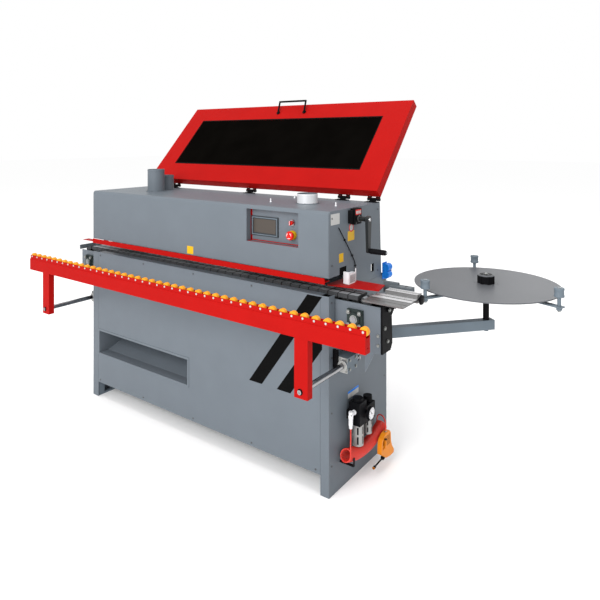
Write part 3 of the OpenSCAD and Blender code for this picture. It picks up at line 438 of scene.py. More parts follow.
# Across the chain: two raised faces with a shallow groove between them
PAD_OUTLINE = ((PAD_Y[0], 13), (62, 12), (142, 12), (PAD_Y[1], 13), (PAD_Y[1], 30), (142, PAD_H),
               (110, PAD_H), (109, 31), (95, 31), (94, PAD_H), (62, PAD_H), (PAD_Y[0], 30))
LINK_OUTLINE = ((-18, -8), (-14, -12), (14, -12), (18, -8), (18, 13), (-18, 13))
rubber, faces, links = bmesh.new(), bmesh.new(), bmesh.new()
for k in range(pads):
    x, z, a = chain_place((k + 0.5) * loop / pads)
    turn = Matrix.Translation((x, 0, z)) @ Matrix.Rotation(a, 4, "Y")
    part = bmesh.new()
    prism(part, PAD_OUTLINE, (-PAD_LENGTH / 2, 0, 0), Y, Z, X, PAD_LENGTH)
    part.transform(turn)
    copy = bpy.data.meshes.new("pad")
    part.to_mesh(copy)
    part.free()
    rubber.from_mesh(copy)
    bpy.data.meshes.remove(copy)
    for y0, y1 in ((63, 93), (111, 141)):
        box(faces, (-FACE_LENGTH / 2, y0, PAD_H - 0.1), (FACE_LENGTH / 2, y1, PAD_H + 0.1), turn)
    for y in (84, 114):
        low = [turn @ Vector((dx, y, dz)) for dx, dz in LINK_OUTLINE]
        prism(links, [(v.x, v.z) for v in low], (0, y, 0), X, Z, Y, 6)
        for dx in (-11, 11):
            centre = turn @ Vector((dx, y + (0 if y < 100 else 6), 0))
            rod(links, centre, -Y if y < 100 else Y, 4.5, 1.6, 12)
rubber_pads = piece("rubber_pads", rubber, "rubber", "machine", 0.8)
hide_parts("chain_pads")
# The pads' top faces in the lighter grey, as painted light
piece("pad_tops_painted_light", faces, "pad_top", "machine")
piece("chain_links", links, "chain", "machine", 0.4)

# ------------------------------------------------------------------ roller support

# Roller's section with a rounded groove in its middle, as radius and place along its pin
ROLLER_SECTION = ((4.2, 0), (14.5, 0), (16.9, 1.2), (ROLLER_R, 3), (ROLLER_R, 8.2), (16.6, 9), (16.6, 10),
                  (ROLLER_R, 10.8), (ROLLER_R, 16), (16.9, 17.8), (14.5, 19), (4.2, 19), (4.2, 0))
rollers, pins, pin_heads = bmesh.new(), bmesh.new(), bmesh.new()
for k in range(ROLLERS):
    x = BEAM_X0 + 18 + k * ROLLER_PITCH
    lathe(rollers, (x, BEAM_Y + 7.5, ROLLER_Z), Y, ROLLER_SECTION, 40)
    rod(pins, (x, BEAM_Y + 3, ROLLER_Z), Y, 4, 28, 20)
    lathe(pin_heads, (x, BEAM_Y + 4, ROLLER_Z), -Y,
          ((0, 0), (4.6, 0), (4.6, 1.4), (3.6, 2.4), (0, 2.8)), 20)
orange_rollers = piece("orange_rollers", rollers, "orange", "roller_support")
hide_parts("support_rollers")
piece("roller_pins", pins, "steel", "roller_support")
piece("roller_pin_heads", pin_heads, "label", "roller_support")

# Thin black discs behind the beam bolts paint the shade inside their holes
beam_bolts, hole_shade_discs = bmesh.new(), bmesh.new()
for x in ROD_X:
    rod(hole_shade_discs, (x, BEAM_Y + 0.3, ROD_Z), -Y, ROD_R, 0.6, 28)
    hex_bolt(beam_bolts, (x, BEAM_Y + 0.2, ROD_Z), -Y, 10, False)
piece("bolt_hole_shade", hole_shade_discs, "painted_shade", "roller_support")
piece("beam_bolts", beam_bolts, "zinc", "roller_support", 0.3)

# ------------------------------------------------------------------ lid

# The lid's pieces are drawn flat, with X along the hinges and Y away from them
GASKET_X, GASKET_U, GASKET_V = (144, 1562), (141, 532), (54.4, 55.6)
gasket = bmesh.new()
for u in (GASKET_U[0], GASKET_U[1] - 9):
    box(gasket, (GASKET_X[0], u, GASKET_V[0]), (GASKET_X[1], u + 9, GASKET_V[1]))
for x in (GASKET_X[0], GASKET_X[1] - 6):
    box(gasket, (x, GASKET_U[0] + 7, GASKET_V[0]), (x + 6, GASKET_U[1] - 7, GASKET_V[1]))
piece("window_gasket", gasket, "stripe", "rear_lid", 0.3, LID)
SHEET_INSIDE, WINDOW_SCREWS, WINDOW_SCREW_PITCH = 51.5, 9, 171
stiffeners = bmesh.new()
for x in (60, 1640):
    box(stiffeners, (x, 20, 36), (x + 10, 640, SHEET_INSIDE))
for u in (96, 556):
    box(stiffeners, (80, u, 40), (1630, u + 8, SHEET_INSIDE))
piece("lid_stiffeners", stiffeners, "red", "rear_lid", 0.6, LID)
lid_screws = bmesh.new()
for k in range(WINDOW_SCREWS):
    for u in (138, 535):
        cap_screw(lid_screws, (170 + k * WINDOW_SCREW_PITCH, u, 47), -Z, 3.6, 3)
for x in HINGE_X:
    for dx in HINGE_SCREWS:
        cap_screw(lid_screws, (x + dx, 13, 8), Z, 3.2, 2)
piece("lid_screws", lid_screws, "chrome", "rear_lid", 0, LID)
lugs = bmesh.new()
LUG_W, LUG_R = 21.4, KNUCKLE_R + 0.4
LUG_SECTION = ((PIN_R, 0), (LUG_R, 0), (LUG_R, LUG_W), (PIN_R, LUG_W), (PIN_R, 0))
for x in HINGE_X:
    for start in (-34, 13):
        lathe(lugs, (x + start - 0.2, 0, 0), X, LUG_SECTION, 32)
        box(lugs, (x + start - 0.3, 3, LID_V0 - 1.3), (x + start + 21.3, LID_U0 + 1, LID_V0 + 4.3))
piece("lid_lugs", lugs, "black", "rear_lid", 0.4, LID)

# ------------------------------------------------------------------ cabinet front

strip = bmesh.new()
box(strip, (0.5, -4.3, 921), (1689.5, -3.6, 948))
piece("strip_face", strip, "red", "machine", 0.2)
stripes = bmesh.new()
FILM_T, STRIPE_FOOT, STRIPE_W, STRIPE_END = 0.5, 400, 78, 1674
for x, head in ((1256, ((STRIPE_END, 864), (STRIPE_END - STRIPE_W, 864))),
                (1424, ((STRIPE_END, 635), (STRIPE_END, 741)))):
    outline = ((x, STRIPE_FOOT), (x + STRIPE_W, STRIPE_FOOT), *head)
    prism(stripes, outline, (0, -0.6, 0), X, Z, Y, FILM_T)
piece("front_stripes", stripes, "stripe", "machine")


def side_label(bm, y, z, thick=0.4):
    """A blank label on the right side, between two values of Y and of Z."""
    box(bm, (CAB_W, y[0], z[0]), (CAB_W + thick, y[1], z[1]))


TYPE_PLATE_Y, TYPE_PLATE_TOP = (158, 252), 404
labels = bmesh.new()
side_label(labels, (14, 86), (1176, 1224))
side_label(labels, TYPE_PLATE_Y, (372, TYPE_PLATE_TOP))
piece("blank_plates", labels, "label", "machine")
band = bmesh.new()
box(band, (CAB_W + 0.3, TYPE_PLATE_Y[0], TYPE_PLATE_TOP - 10),
    (CAB_W + 0.6, TYPE_PLATE_Y[1], TYPE_PLATE_TOP))
piece("plate_band", band, "blue_plug", "machine")
signs = bmesh.new()
side_label(signs, (82, 118), (1003, 1042))
side_label(signs, (156, 214), (1088, 1132))
box(signs, (826, -0.4, 954), (872, 0, 994))
piece("blank_signs", signs, "yellow", "machine")
ROUND_SIGN = (CAB_W, 187, 1147)
sign_ring = bmesh.new()
lathe(sign_ring, ROUND_SIGN, X, ((14, 0), (20, 0), (20, 0.6), (14, 0.6), (14, 0)), 40)
piece("sign_ring", sign_ring, "knob_red", "machine")
sign_disc = bmesh.new()
lathe(sign_disc, ROUND_SIGN, X, ((0, 0), (14.2, 0), (14.2, 0.5), (0, 0.5)), 40)
piece("sign_disc", sign_disc, "label", "machine")

# The front's upper row leaves out its last screw, which would stand on a stripe
FRONT_SCREWS = [(x, z) for x in (70, 470, 870, 1270, 1640) for z in (104, 852) if (x, z) != (1640, 852)]
SIDE_SCREWS = [(y, z) for y in (22, 512) for z in (130, 360, 600, 840)]
HOOD_SIDE_SCREWS = [(24, 1000), (24, 1205), (440, 1205), (440, 905)]
REAR_SCREWS = [(x, z) for x in (80, 520, 960, 1400, 1630) for z in (110, 850)]
SCREW_R, SCREW_H = 4.2, 1.6
panel_screws = bmesh.new()


def side_screws(places):
    """Screws on both side panels, at pairs of Y and Z."""
    for y, z in places:
        cap_screw(panel_screws, (CAB_W, y, z), X, SCREW_R, SCREW_H)
        cap_screw(panel_screws, (0, y, z), -X, SCREW_R, SCREW_H)


for x, z in FRONT_SCREWS:
    cap_screw(panel_screws, (x, 0, z), -Y, SCREW_R, SCREW_H)
side_screws(SIDE_SCREWS)
for x, z in REAR_SCREWS:
    cap_screw(panel_screws, (x, CAB_D, z), Y, SCREW_R, SCREW_H)
side_screws(HOOD_SIDE_SCREWS)
piece("panel_screws", panel_screws, "chain", "machine")

louvres = bmesh.new()
for x in (300, 1100):
    for k in range(8):
        z = 240 + 24 * k
        prism(louvres, ((CAB_D - 3, z + 8), (CAB_D, z + 9.5), (CAB_D, z + 8.6), (CAB_D - 3, z + 3)),
              (x, 0, 0), Y, Z, X, 240)
piece("rear_louvres", louvres, "blue", "machine")

# ------------------------------------------------------------------ control recess

RECESS_DEPTH, RIM_Y, RIM_W = 39.5, (32.3, 33.6), 4
plate = bmesh.new()
box(plate, (RECESS_X[0] + 4, 39, RECESS_Z[0] + 4), (RECESS_X[1] - 4, 40, RECESS_Z[1] - 4))
piece("recess_plate", plate, "blue", "machine", 0.3)
walls = bmesh.new()
for low, high in (((RECESS_X[0], 1, RECESS_Z[0] + 0.1), (RECESS_X[0] + 0.3, 30, RECESS_Z[1])),
                  ((RECESS_X[0] + 9, 13, RECESS_Z[0]), (RECESS_X[1], RECESS_DEPTH, RECESS_Z[0] + 0.3)),
                  ((RECESS_X[1] - 0.3, 1, RECESS_Z[0] + 0.1), (RECESS_X[1], RECESS_DEPTH, RECESS_Z[1]))):
    box(walls, low, high)
piece("recess_walls", walls, "blue", "machine")
touch = bmesh.new()
box(touch, (1254, 34.4, 1103), (1390, 35.2, 1170))
piece("touch_screen", touch, "screen", "machine")
RIM_X, RIM_Z = (1245, 1399), (1093, 1178)
rim = bmesh.new()
for z in (RIM_Z[0], RIM_Z[1] - RIM_W):
    box(rim, (RIM_X[0], RIM_Y[0], z), (RIM_X[1], RIM_Y[1], z + RIM_W))
for x in (RIM_X[0], RIM_X[1] - RIM_W):
    box(rim, (x, RIM_Y[0], RIM_Z[0] + RIM_W), (x + RIM_W, RIM_Y[1], RIM_Z[1] - RIM_W))
piece("screen_rim", rim, "frame", "machine", 0.3)
collar = bmesh.new()
lathe(collar, (STOP_AT[0], 41, STOP_AT[1]), -Y,
      ((6.3, 0), (21.5, 0), (21.5, 12), (20.5, 15.4), (6.3, 15.4)), 48)
piece("stop_collar", collar, "yellow", "machine")
selector_ring = bmesh.new()
lathe(selector_ring, (SELECTOR_AT[0], 40.5, SELECTOR_AT[1]), -Y,
      ((5.3, 0), (14.6, 0), (14.6, 5), (13.4, 6.9), (5.3, 6.9)), 40)
piece("selector_ring", selector_ring, "chrome", "machine")
mark = bmesh.new()
box(mark, (SELECTOR_AT[0] - 0.8, 13.6, SELECTOR_AT[1] - 9),
    (SELECTOR_AT[0] + 0.8, 14.4, SELECTOR_AT[1] + 9.5))
piece("selector_mark", mark, "white", "selector")


def arc_points(r, start, steps_along):
    """Points of a circle of radius r, each at a step of STOP_ARC_STEP from start."""
    angles = [start + STOP_ARC_STEP * j for j in steps_along]
    return [(r * math.cos(a), r * math.sin(a)) for a in angles]


STOP_ARCS, STOP_ARC_STEP, STOP_ARC_R = 3, 0.12, (10.6, 13)
arcs = bmesh.new()
for k in range(STOP_ARCS):
    start = 2 * math.pi * k / STOP_ARCS
    outer = arc_points(STOP_ARC_R[1], start, range(11))
    inner = arc_points(STOP_ARC_R[0], start, range(10, -1, -1))
    prism(arcs, outer + inner, (STOP_AT[0], 5.4, STOP_AT[1]), X, Z, Y, 1.6)
piece("stop_arcs", arcs, "white", "stop_button")

# ------------------------------------------------------------------ hood top

RIVETS_PER_PORT, RIVET_RING = 8, PORT_R + 5.5
SLEEVE_R = (PORT_R + 0.15, PORT_R + 0.5)


def port_bead(top):
    """The rolled rim of a dust port, as radius and height, for a port that ends at top."""
    return ((48.2, top - 9), (50.9, top - 9), (51.3, top - 7.6), (50.9, top - 6), (50.2, top - 5.6),
            (50.2, top - 0.4), (49.3, top), (48.2, top - 0.6), (48.2, top - 9))


beads, galvanised_port = bmesh.new(), bmesh.new()
for x, y, h in PORTS:
    low = h < LOW_PORT_H
    lathe(galvanised_port if low else beads, (x, y, 0), Z, port_bead(HOOD_TOP + h), 64)
    if low:
        lathe(galvanised_port, (x, y, HOOD_TOP), Z, ((SLEEVE_R[0], 2.1), (SLEEVE_R[1], 2.1),
              (SLEEVE_R[1], h - 6), (SLEEVE_R[0], h - 6), (SLEEVE_R[0], 2.1)), 64)
piece("port_beads", beads, "blue", "machine")
piece("low_port_sleeve", galvanised_port, "galvanised", "machine")
rivets = bmesh.new()
for x, y, h in PORTS:
    others = [port for port in PORTS if port[:2] != (x, y)]
    for k in range(RIVETS_PER_PORT):
        a = math.radians(22) + 2 * math.pi * k / RIVETS_PER_PORT
        at = Vector((x + RIVET_RING * math.cos(a), y + RIVET_RING * math.sin(a), HOOD_TOP + 2))
        if all(math.hypot(at.x - port[0], at.y - port[1]) > PORT_R + 14 for port in others):
            lathe(rivets, at, Z, ((0, 0), (3, 0), (2.4, 1.2), (0, 1.8)), 14)
for x in HINGE_X:
    for dx in HINGE_SCREWS:
        cap_screw(rivets, (x + dx, 445, HOOD_TOP + 3), Z, 4, 2.4)
piece("hood_rivets", rivets, "chain", "machine")
HOOD_PINS = ((1263, 154), (1246, 377), (1619, 199))
hood_pins = bmesh.new()
for x, y in HOOD_PINS:
    lathe(hood_pins, (x, y, HOOD_TOP), Z, ((0, 0), (5, 0), (5, 3), (3, 4), (3, 17), (2, 18), (0, 18)), 20)
piece("hood_pins", hood_pins, "white", "machine")

# ------------------------------------------------------------------ bearings, ends and table

BEARING_BOLTS, BEARING_FACES, PLATE_FACE = (-27, 27), (31.5, 172.5), 52
bolts = bmesh.new()
for x in (DRIVE_X, IDLER_X):
    for dx in BEARING_BOLTS:
        for dz in BEARING_BOLTS:
            hex_bolt(bolts, (x + dx, BEARING_FACES[0], CHAIN_Z + dz), -Y, 9)
            hex_bolt(bolts, (x + dx, BEARING_FACES[1], CHAIN_Z + dz), Y, 8, False)
    lathe(bolts, (x, 30, CHAIN_Z), -Y, ((12.8, 0), (18, 0), (18, 2.4), (12.8, 2.4), (12.8, 0)), 40)
for x, z in ((1920, 690), (1920, 730)):
    hex_bolt(bolts, (x, PLATE_FACE, z), -Y, 7)
for x, y, z in ((1947, 100, 832), (1939, 100, 700), (1939, 75, 760)):
    hex_bolt(bolts, (x, y, z), X, 8)
for x, z in ((-185, 690), (-40, 690)):
    hex_bolt(bolts, (x, PLATE_FACE, z), -Y, 7)
piece("bearing_bolts", bolts, "zinc", "machine", 0.3)
nipples = bmesh.new()
for x in (DRIVE_X, IDLER_X):
    lathe(nipples, (x + 20, 34, CHAIN_Z + 20), Vector((0.5, -1, 0.5)),
          ((0, 0), (2.5, 0), (2.5, 4), (1.5, 6), (2, 8), (0, 9)), 12)
piece("grease_nipples", nipples, "chrome", "machine")
table_screws = bmesh.new()
for x in (1880, 1955, 2030):
    cap_screw(table_screws, (x, 40, PAD_TOP - 1.2), Z, 4.5, 1.4)
    cap_screw(table_screws, (x, 150, PAD_TOP - 1.2), Z, 4.5, 1.4)
piece("table_screws", table_screws, "chain", "machine")
# Planed faces of the table and of its raised edge, drawn bright as painted highlight on top of their real
# planed finish: first X, height, and the two sides in Y
TABLE_END, EDGE_TOP = 2045.5, 896
strips = bmesh.new()
for x, z, y0, y1 in ((1861, PAD_TOP, 99, 128), (1861, PAD_TOP, 137, 163), (1896, EDGE_TOP, 166, 175.5),
                     (1896, EDGE_TOP, 182.5, 188.5), (1896, EDGE_TOP, 195.5, 205.5)):
    box(strips, (x, y0, z), (TABLE_END, y1, z + 0.25))
piece("table_strips", strips, "planed_and_painted_highlight", "machine")
# Black sheets behind the two openings in the hood's right end, as painted shade for their dark insides:
# first over the rear half of the small one
SHADE_X = (CAB_W - 6.5, CAB_W - 4)
shades = bmesh.new()
for y, z in (((389, 412), (900, 952)), ((80, 153), (943, 986))):
    box(shades, (SHADE_X[0], y[0], z[0]), (SHADE_X[1], y[1], z[1]))
piece("end_shades", shades, "painted_shade", "machine")
fence_screws = bmesh.new()
for y in (240, 254):
    cap_screw(fence_screws, (1955, y, 901), Z, 4, 2)
piece("fence_screws", fence_screws, "chain", "fence")


def lobed(r, wave, lobes, n):
    """A round outline whose radius rises and falls by wave, once for each lobe."""
    angles = [2 * math.pi * k / n for k in range(n)]
    return [((r + wave * math.cos(lobes * a)) * math.cos(a), (r + wave * math.cos(lobes * a)) * math.sin(a))
            for a in angles]


knob_rim = bmesh.new()
prism(knob_rim, lobed(19.8, 1.2, 6, 72), (2054.6, 176, 876), Y, Z, X, 8)
piece("clamp_knob_rim", knob_rim, "plastic", "clamp_knob", 0.8)

# ------------------------------------------------------------------ crank and counter

CRANK_X, CRANK_Y, CRANK_Z, CRANK_L = 1776, 215, 1186, 142
COUNTER_FACE, COUNTER_DIGITS, GRIP_RIBS, GUIDE_SLOTS = 1734, 4, 6, 5
CABLE_CLIPS = ((125, 1099), (190, 1019), (218, 968))
caps = bmesh.new()
lathe(caps, (CRANK_X + 14.5, CRANK_Y, CRANK_Z), X, ((0, 0), (9, 0), (8, 2.5), (0, 3.4)), 28)
lathe(caps, (CRANK_X + 100, CRANK_Y, CRANK_Z - CRANK_L), X, ((0, 0), (6, 0), (5, 1.4), (0, 1.8)), 20)
piece("crank_caps", caps, "chrome", "crank")
grip_ribs = bmesh.new()
for k in range(GRIP_RIBS):
    lathe(grip_ribs, (CRANK_X + 24 + k * 11, CRANK_Y, CRANK_Z - CRANK_L), X,
          ((4.2, 0), (12.1, 0), (12.7, 1.2), (12.7, 4.4), (12.1, 5.6), (4.2, 5.6)), 32)
piece("grip_ribs", grip_ribs, "plastic", "grip")
counter = bmesh.new()
box(counter, (COUNTER_FACE - 1, 186, 1205), (COUNTER_FACE + 0.6, 235, 1229))
piece("counter_cap", counter, "knob_red", "machine", 0.5)
digits = bmesh.new()
for k in range(COUNTER_DIGITS):
    box(digits, (COUNTER_FACE + 0.2, 190 + k * 11, 1210), (COUNTER_FACE + 1.2, 198 + k * 11, 1223))
piece("counter_windows", digits, "label", "machine", 0.2)
boss = bmesh.new()
lathe(boss, (COUNTER_FACE, CRANK_Y, CRANK_Z), X, ((7.4, 0), (15, 0), (15, 2), (13, 4), (7.4, 4)), 36)
for dy in (-25, 17):
    cap_screw(boss, (COUNTER_FACE, CRANK_Y + dy, CRANK_Z - 18), X, 3.4, 2)
piece("counter_bushing", boss, "chain", "machine")
clips = bmesh.new()
for y, z in CABLE_CLIPS:
    box(clips, (CAB_W, y - 5, z - 4), (CAB_W + 6.4, y + 5, z + 4))
piece("cable_clips", clips, "plastic", "machine", 1.0)
# Five slots drawn as thin black sheets: painted shade for their dark insides
slots = bmesh.new()
for k in range(GUIDE_SLOTS):
    box(slots, (1738, 133 + k * 9, 908), (1738.6, 136 + k * 9, 942))
piece("guide_slots", slots, "painted_shade", "machine")

# ------------------------------------------------------------------ rods and bushes

# The flanged ring round a rod, as radius and place along the rod
RING_SECTION = ((22.1, -2.8), (22.8, -2.8), (22.8, 0.6), (21.5, 1.4), (16, 1.4), (14.5, 4), (12.8, 4),
                (12.8, 0.2), (22.1, 0.2), (22.1, -2.8))
BLOCK_W, BLOCK_HALF, BLOCK_FACE, RING_GAP = 70, 32.4, (36.6, 38.4), 13.5
WALL_PLATE_W, WALL_PLATE_Y, WALL_PLATE_Z = 24.6, (29.4, 39.3), (543.4, 636.6)
flanges, plates, bush_bolts = bmesh.new(), bmesh.new(), bmesh.new()
for x, wall, out in ((ROD_X[0], 0, -1), (ROD_X[1], CAB_W, 1)):
    lathe(flanges, (x, 27, ROD_Z), -Y, RING_SECTION, 56)
    near, far = sorted((wall, wall + (BLOCK_W + 0.4) * out))
    left, right, low, high = x - RING_GAP, x + RING_GAP, ROD_Z - BLOCK_HALF, ROD_Z + BLOCK_HALF
    for x0, x1, z0, z1 in ((near, left, low, high), (right, far, low, high),
                           (left, right, low, ROD_Z - RING_GAP), (left, right, ROD_Z + RING_GAP, high)):
        box(flanges, (x0, BLOCK_FACE[0], z0), (x1, BLOCK_FACE[1], z1))
    near, far = sorted((wall, wall + WALL_PLATE_W * out))
    box(plates, (near, WALL_PLATE_Y[0], WALL_PLATE_Z[0]), (far, WALL_PLATE_Y[1], WALL_PLATE_Z[1]))
    for dx in (-17, 15):
        for dz in (-25, 25):
            cap_screw(bush_bolts, (x + dx, BLOCK_FACE[0], ROD_Z + dz), -Y, 4, 3)
    for y in (56, 107):
        for dz in (-20, 20):
            hex_bolt(bush_bolts, (wall + BLOCK_W * out, y, ROD_Z + dz), X * out, 7)
piece("bush_flanges", flanges, "bowl", "machine")
piece("bush_plates", plates, "black", "machine")
piece("bush_bolts", bush_bolts, "zinc", "machine", 0.2)

# ------------------------------------------------------------------ reel

def from_reel(r, angle, height):
    """A point at radius r and angle round the reel's axis, height above the disc's underside."""
    return REEL + Vector((r * math.cos(angle), r * math.sin(angle), height))


# A guide sleeve with a shallow groove, as radius and height
SLEEVE_SECTION = ((5.2, 0), (20, 0), (21, 1.5), (21, 8), (19.6, 10), (19.6, 28), (21, 30), (21, 36.5),
                  (20, 38), (5.2, 38), (5.2, 0))
HUB_SCREWS, HUB_SCREW_RING, HUB_LOBES = 6, 52, 7
hub = bmesh.new()
prism(hub, lobed(37.6, 2.2, HUB_LOBES, 112), from_reel(0, 0, DISC_T), X, Y, Z, HUB_TOP - DISC_T)
rod(hub, from_reel(0, 0, DISC_T), Z, HUB_R + 0.3, HUB_TOP - DISC_T, 72)
piece("hub_lobes", hub, "plastic", "reel", 2.0)
hub_top = bmesh.new()
lathe(hub_top, REEL, Z, ((10.3, HUB_TOP), (34, HUB_TOP), (33, 45.5), (28, 47.4), (14, 47.4), (12, 45),
                         (10.3, 45)), 56)
piece("hub_top", hub_top, "plastic", "reel")
reel_nuts = bmesh.new()
rod(reel_nuts, from_reel(0, 0, 34), Z, 9.6, 16, 6)
lathe(reel_nuts, from_reel(0, 0, 40), Z, ((0, 10), (6, 10), (5, 13), (0, 14)), 20)
hex_bolt(reel_nuts, from_reel(0, 0, -174), -Z, 12)
piece("reel_nuts", reel_nuts, "zinc", "swing_arm", 0.3)
hub_screws = bmesh.new()
for k in range(HUB_SCREWS):
    cap_screw(hub_screws, from_reel(HUB_SCREW_RING, math.radians(60 * k + 15), DISC_T), Z, 3.6, 2)
piece("hub_screws", hub_screws, "steel", "reel")
post_sleeve = bmesh.new()
rod(post_sleeve, from_reel(0, 0, POST_Z[0]), Z, POST_R, POST_Z[1] - POST_Z[0], 40)
piece("post_sleeve", post_sleeve, "black", "swing_arm")
sleeves, guide_caps, guide_bolts = bmesh.new(), bmesh.new(), bmesh.new()
for angle in GUIDE_ANGLES:
    a = math.radians(angle)
    lathe(sleeves, from_reel(GUIDE_R, a, 23), Z, SLEEVE_SECTION, 48)
    lathe(guide_caps, from_reel(GUIDE_R, a, 61.5), Z, ((0, 0), (8, 0), (8, 1.4), (6, 2.4), (0, 2.4)), 24)
    hex_bolt(guide_bolts, from_reel(GUIDE_R, a, -32), -Z, 9)
guides = piece("guide_sleeves", sleeves, "frame", "swing_arm")
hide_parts("guide_rollers")
piece("guide_caps", guide_caps, "chrome", "swing_arm")
piece("guide_bolts", guide_bolts, "zinc", "swing_arm")
pivot_bolts = bmesh.new()
PIVOT = (REEL.x - ARM_LENGTH * math.sin(ARM_ANGLE), REEL.y - ARM_LENGTH * math.cos(ARM_ANGLE))
hex_bolt(pivot_bolts, (*PIVOT, 709), Z, 13)
hex_bolt(pivot_bolts, (*PIVOT, 646), -Z, 13)
for dy in (-20, 20):
    for z in (628, 728):
        hex_bolt(pivot_bolts, (CAB_W + 8, PIVOT[1] + dy, z), X, 7)
piece("pivot_bolts", pivot_bolts, "zinc", "machine", 0.3)

# ------------------------------------------------------------------ air unit

GAUGE, GAUGE_R = Vector((AIR_X + 50, 212, 312)), 26
TICKS, FIRST_TICK, TICK_STEP, NEEDLE_ANGLE = 11, 225, 27, 130
gauge_rim = bmesh.new()
lathe(gauge_rim, GAUGE - X * 11, X,
      ((0, 0), (29, 0), (29.6, 2), (29.6, 11.5), (28.4, 12.6), (GAUGE_R, 12.6), (GAUGE_R, 11.4)), 56)
piece("gauge_rim", gauge_rim, "plastic", "machine")
gauge_face = bmesh.new()
lathe(gauge_face, GAUGE, X, ((0, 0.2), (GAUGE_R, 0.2), (GAUGE_R, 0.6), (0, 0.6)), 48)
piece("gauge_face", gauge_face, "white", "machine")
ticks = bmesh.new()
for k in range(TICKS):
    spoke = Matrix.Translation(GAUGE) @ Matrix.Rotation(math.radians(FIRST_TICK - TICK_STEP * k), 4, "X")
    box(ticks, (0.5, 18 if k % 5 else 15, -0.6), (0.9, 23, 0.6), spoke)
needle = Matrix.Translation(GAUGE) @ Matrix.Rotation(math.radians(NEEDLE_ANGLE), 4, "X")
box(ticks, (0.8, -5, -0.7), (1.3, 19, 0.7), needle)
rod(ticks, GAUGE, X, 2.6, 1.6, 20)
piece("gauge_marks", ticks, "stripe", "machine")


def bowl_guard(bm, y, r, z0, z1):
    """A metal guard of six curved panels with slots between them, held by three bands."""
    panels, slot_angle, band_h, arc_steps = 6, 0.30, 9, 8
    for k in range(panels):
        a0 = 2 * math.pi * k / panels + slot_angle / 2
        a1 = 2 * math.pi * (k + 1) / panels - slot_angle / 2
        arc = [a0 + (a1 - a0) * j / arc_steps for j in range(arc_steps + 1)]
        outer = [((r + 1.2) * math.cos(a), (r + 1.2) * math.sin(a)) for a in arc]
        inner = [((r - 0.2) * math.cos(a), (r - 0.2) * math.sin(a)) for a in reversed(arc)]
        prism(bm, outer + inner, (AIR_X, y, z0 + band_h), X, Y, Z, z1 - z0 - 2 * band_h)
    band_section = ((r - 0.2, 0), (r + 1.4, 0), (r + 1.4, band_h), (r - 0.2, band_h), (r - 0.2, 0))
    for z in (z0, (z0 + z1) / 2 - 4, z1 - band_h):
        lathe(bm, (AIR_X, y, z), Z, band_section, 48)
    lathe(bm, (AIR_X, y, z0), Z, ((0, 0), (r - 4, 0), (r + 1.2, 4), (r - 1, 4)), 48)


guards = bmesh.new()
bowl_guard(guards, BOWL_Y[0], 25, 175.5, 270)
bowl_guard(guards, BOWL_Y[1], 19, 190.5, 262)
piece("bowl_guards", guards, "bowl", "machine")
coupling = bmesh.new()
lathe(coupling, (AIR_X, LEAD[0][1], LEAD[0][2] + 0.2), Z,
      ((3.2, 0), (7.2, 0), (8, 2), (8, 12), (9.6, 14), (9.6, 40), (11, 42), (11, 58), (9.6, 60),
       (9.6, 74), (7, 76), (0, 76)), 32)
lathe(coupling, (AIR_X, 119, 330), Y, ((0, 0), (10, 0), (10, 8), (8.6, 9), (8.6, 18), (11, 19), (11, 24.6),
                                       (0, 24.6)), 32)
piece("white_coupling", coupling, "white", "machine", 0.3)


def knurls(bm, at, r, half, z, count):
    """Upright ribs round a knob or roller: radii r and heights z from one value to the other."""
    for k in range(count):
        turn = Matrix.Translation((*at, 0)) @ Matrix.Rotation(2 * math.pi * k / count, 4, "Z")
        box(bm, (r[0], -half, z[0]), (r[1], half, z[1]), turn)


regulator_knurls = bmesh.new()
knurls(regulator_knurls, (AIR_X, BOWL_Y[1]), (19.4, 20.8), 1.2, (341, 361), 28)
piece("regulator_knurls", regulator_knurls, "plastic", "regulator", 0.3)
GUN_MIDDLE, NOZZLE_TILT = GUN_X + GUN_W / 2, math.radians(94.9)
fitting = bmesh.new()
lathe(fitting, (GUN_MIDDLE, 360, 165.5), Z, ((3.2, 0), (6.6, 0), (6.6, 5), (5.6, 6.4), (3.2, 6.4)), 6)
piece("gun_fitting", fitting, "chrome", "machine")
nozzle = bmesh.new()
lathe(nozzle, (GUN_MIDDLE, 350, 57), Matrix.Rotation(NOZZLE_TILT, 3, "X") @ Z,
      ((3.2, 12), (9, 12), (9, 24), (3.5, 28), (3.5, 94), (6.4, 96), (6.4, 108), (4.6, 110), (1.6, 110),
       (1.6, 100)), 28)
piece("gun_nozzle", nozzle, "plastic", "machine")
GUN_LINES, GUN_LINE_STEP = 6, 8
gun_lines = bmesh.new()
for k in range(GUN_LINES):
    z = 108 + GUN_LINE_STEP * k
    for x in (GUN_X - 0.5, GUN_X + GUN_W - 0.1):
        box(gun_lines, (x, 350, z), (x + 0.6, 386, z + 2.4))
piece("gun_grip_lines", gun_lines, "stripe", "machine")

# ------------------------------------------------------------------ power connector

PLUG_X, PLUG_Z = CAB_W + 19.5, (874, 910)
PLUG_SECTION = ((0, 0), (16, 0), (19, 3), (19, 14), (17.4, 16), (19, 18), (19, 38), (16, 41), (11, 41),
                (11, 30), (0, 30))
plug = bmesh.new()
for z in PLUG_Z:
    lathe(plug, (PLUG_X, 486, z), Y, PLUG_SECTION, 40)
piece("blue_connectors", plug, "blue_plug", "machine")
tip = bmesh.new()
box(tip, (CAB_W + 10.6, 525, 879.5), (CAB_W + 27.4, 538.4, 905.5))
piece("connector_tip", tip, "plastic", "machine", 2.0)

# ------------------------------------------------------------------ motors


def fins(bm, p, axis, r, start, count):
    """Cooling fins round a motor, the first one at distance start from p."""
    step = 11
    section = ((r - 1, 0), (r + 3.5, 0), (r + 3.5, 2.2), (r - 1, 2.2), (r - 1, 0))
    for k in range(count):
        lathe(bm, Vector(p) + axis * (start + k * step), axis, section, 40)


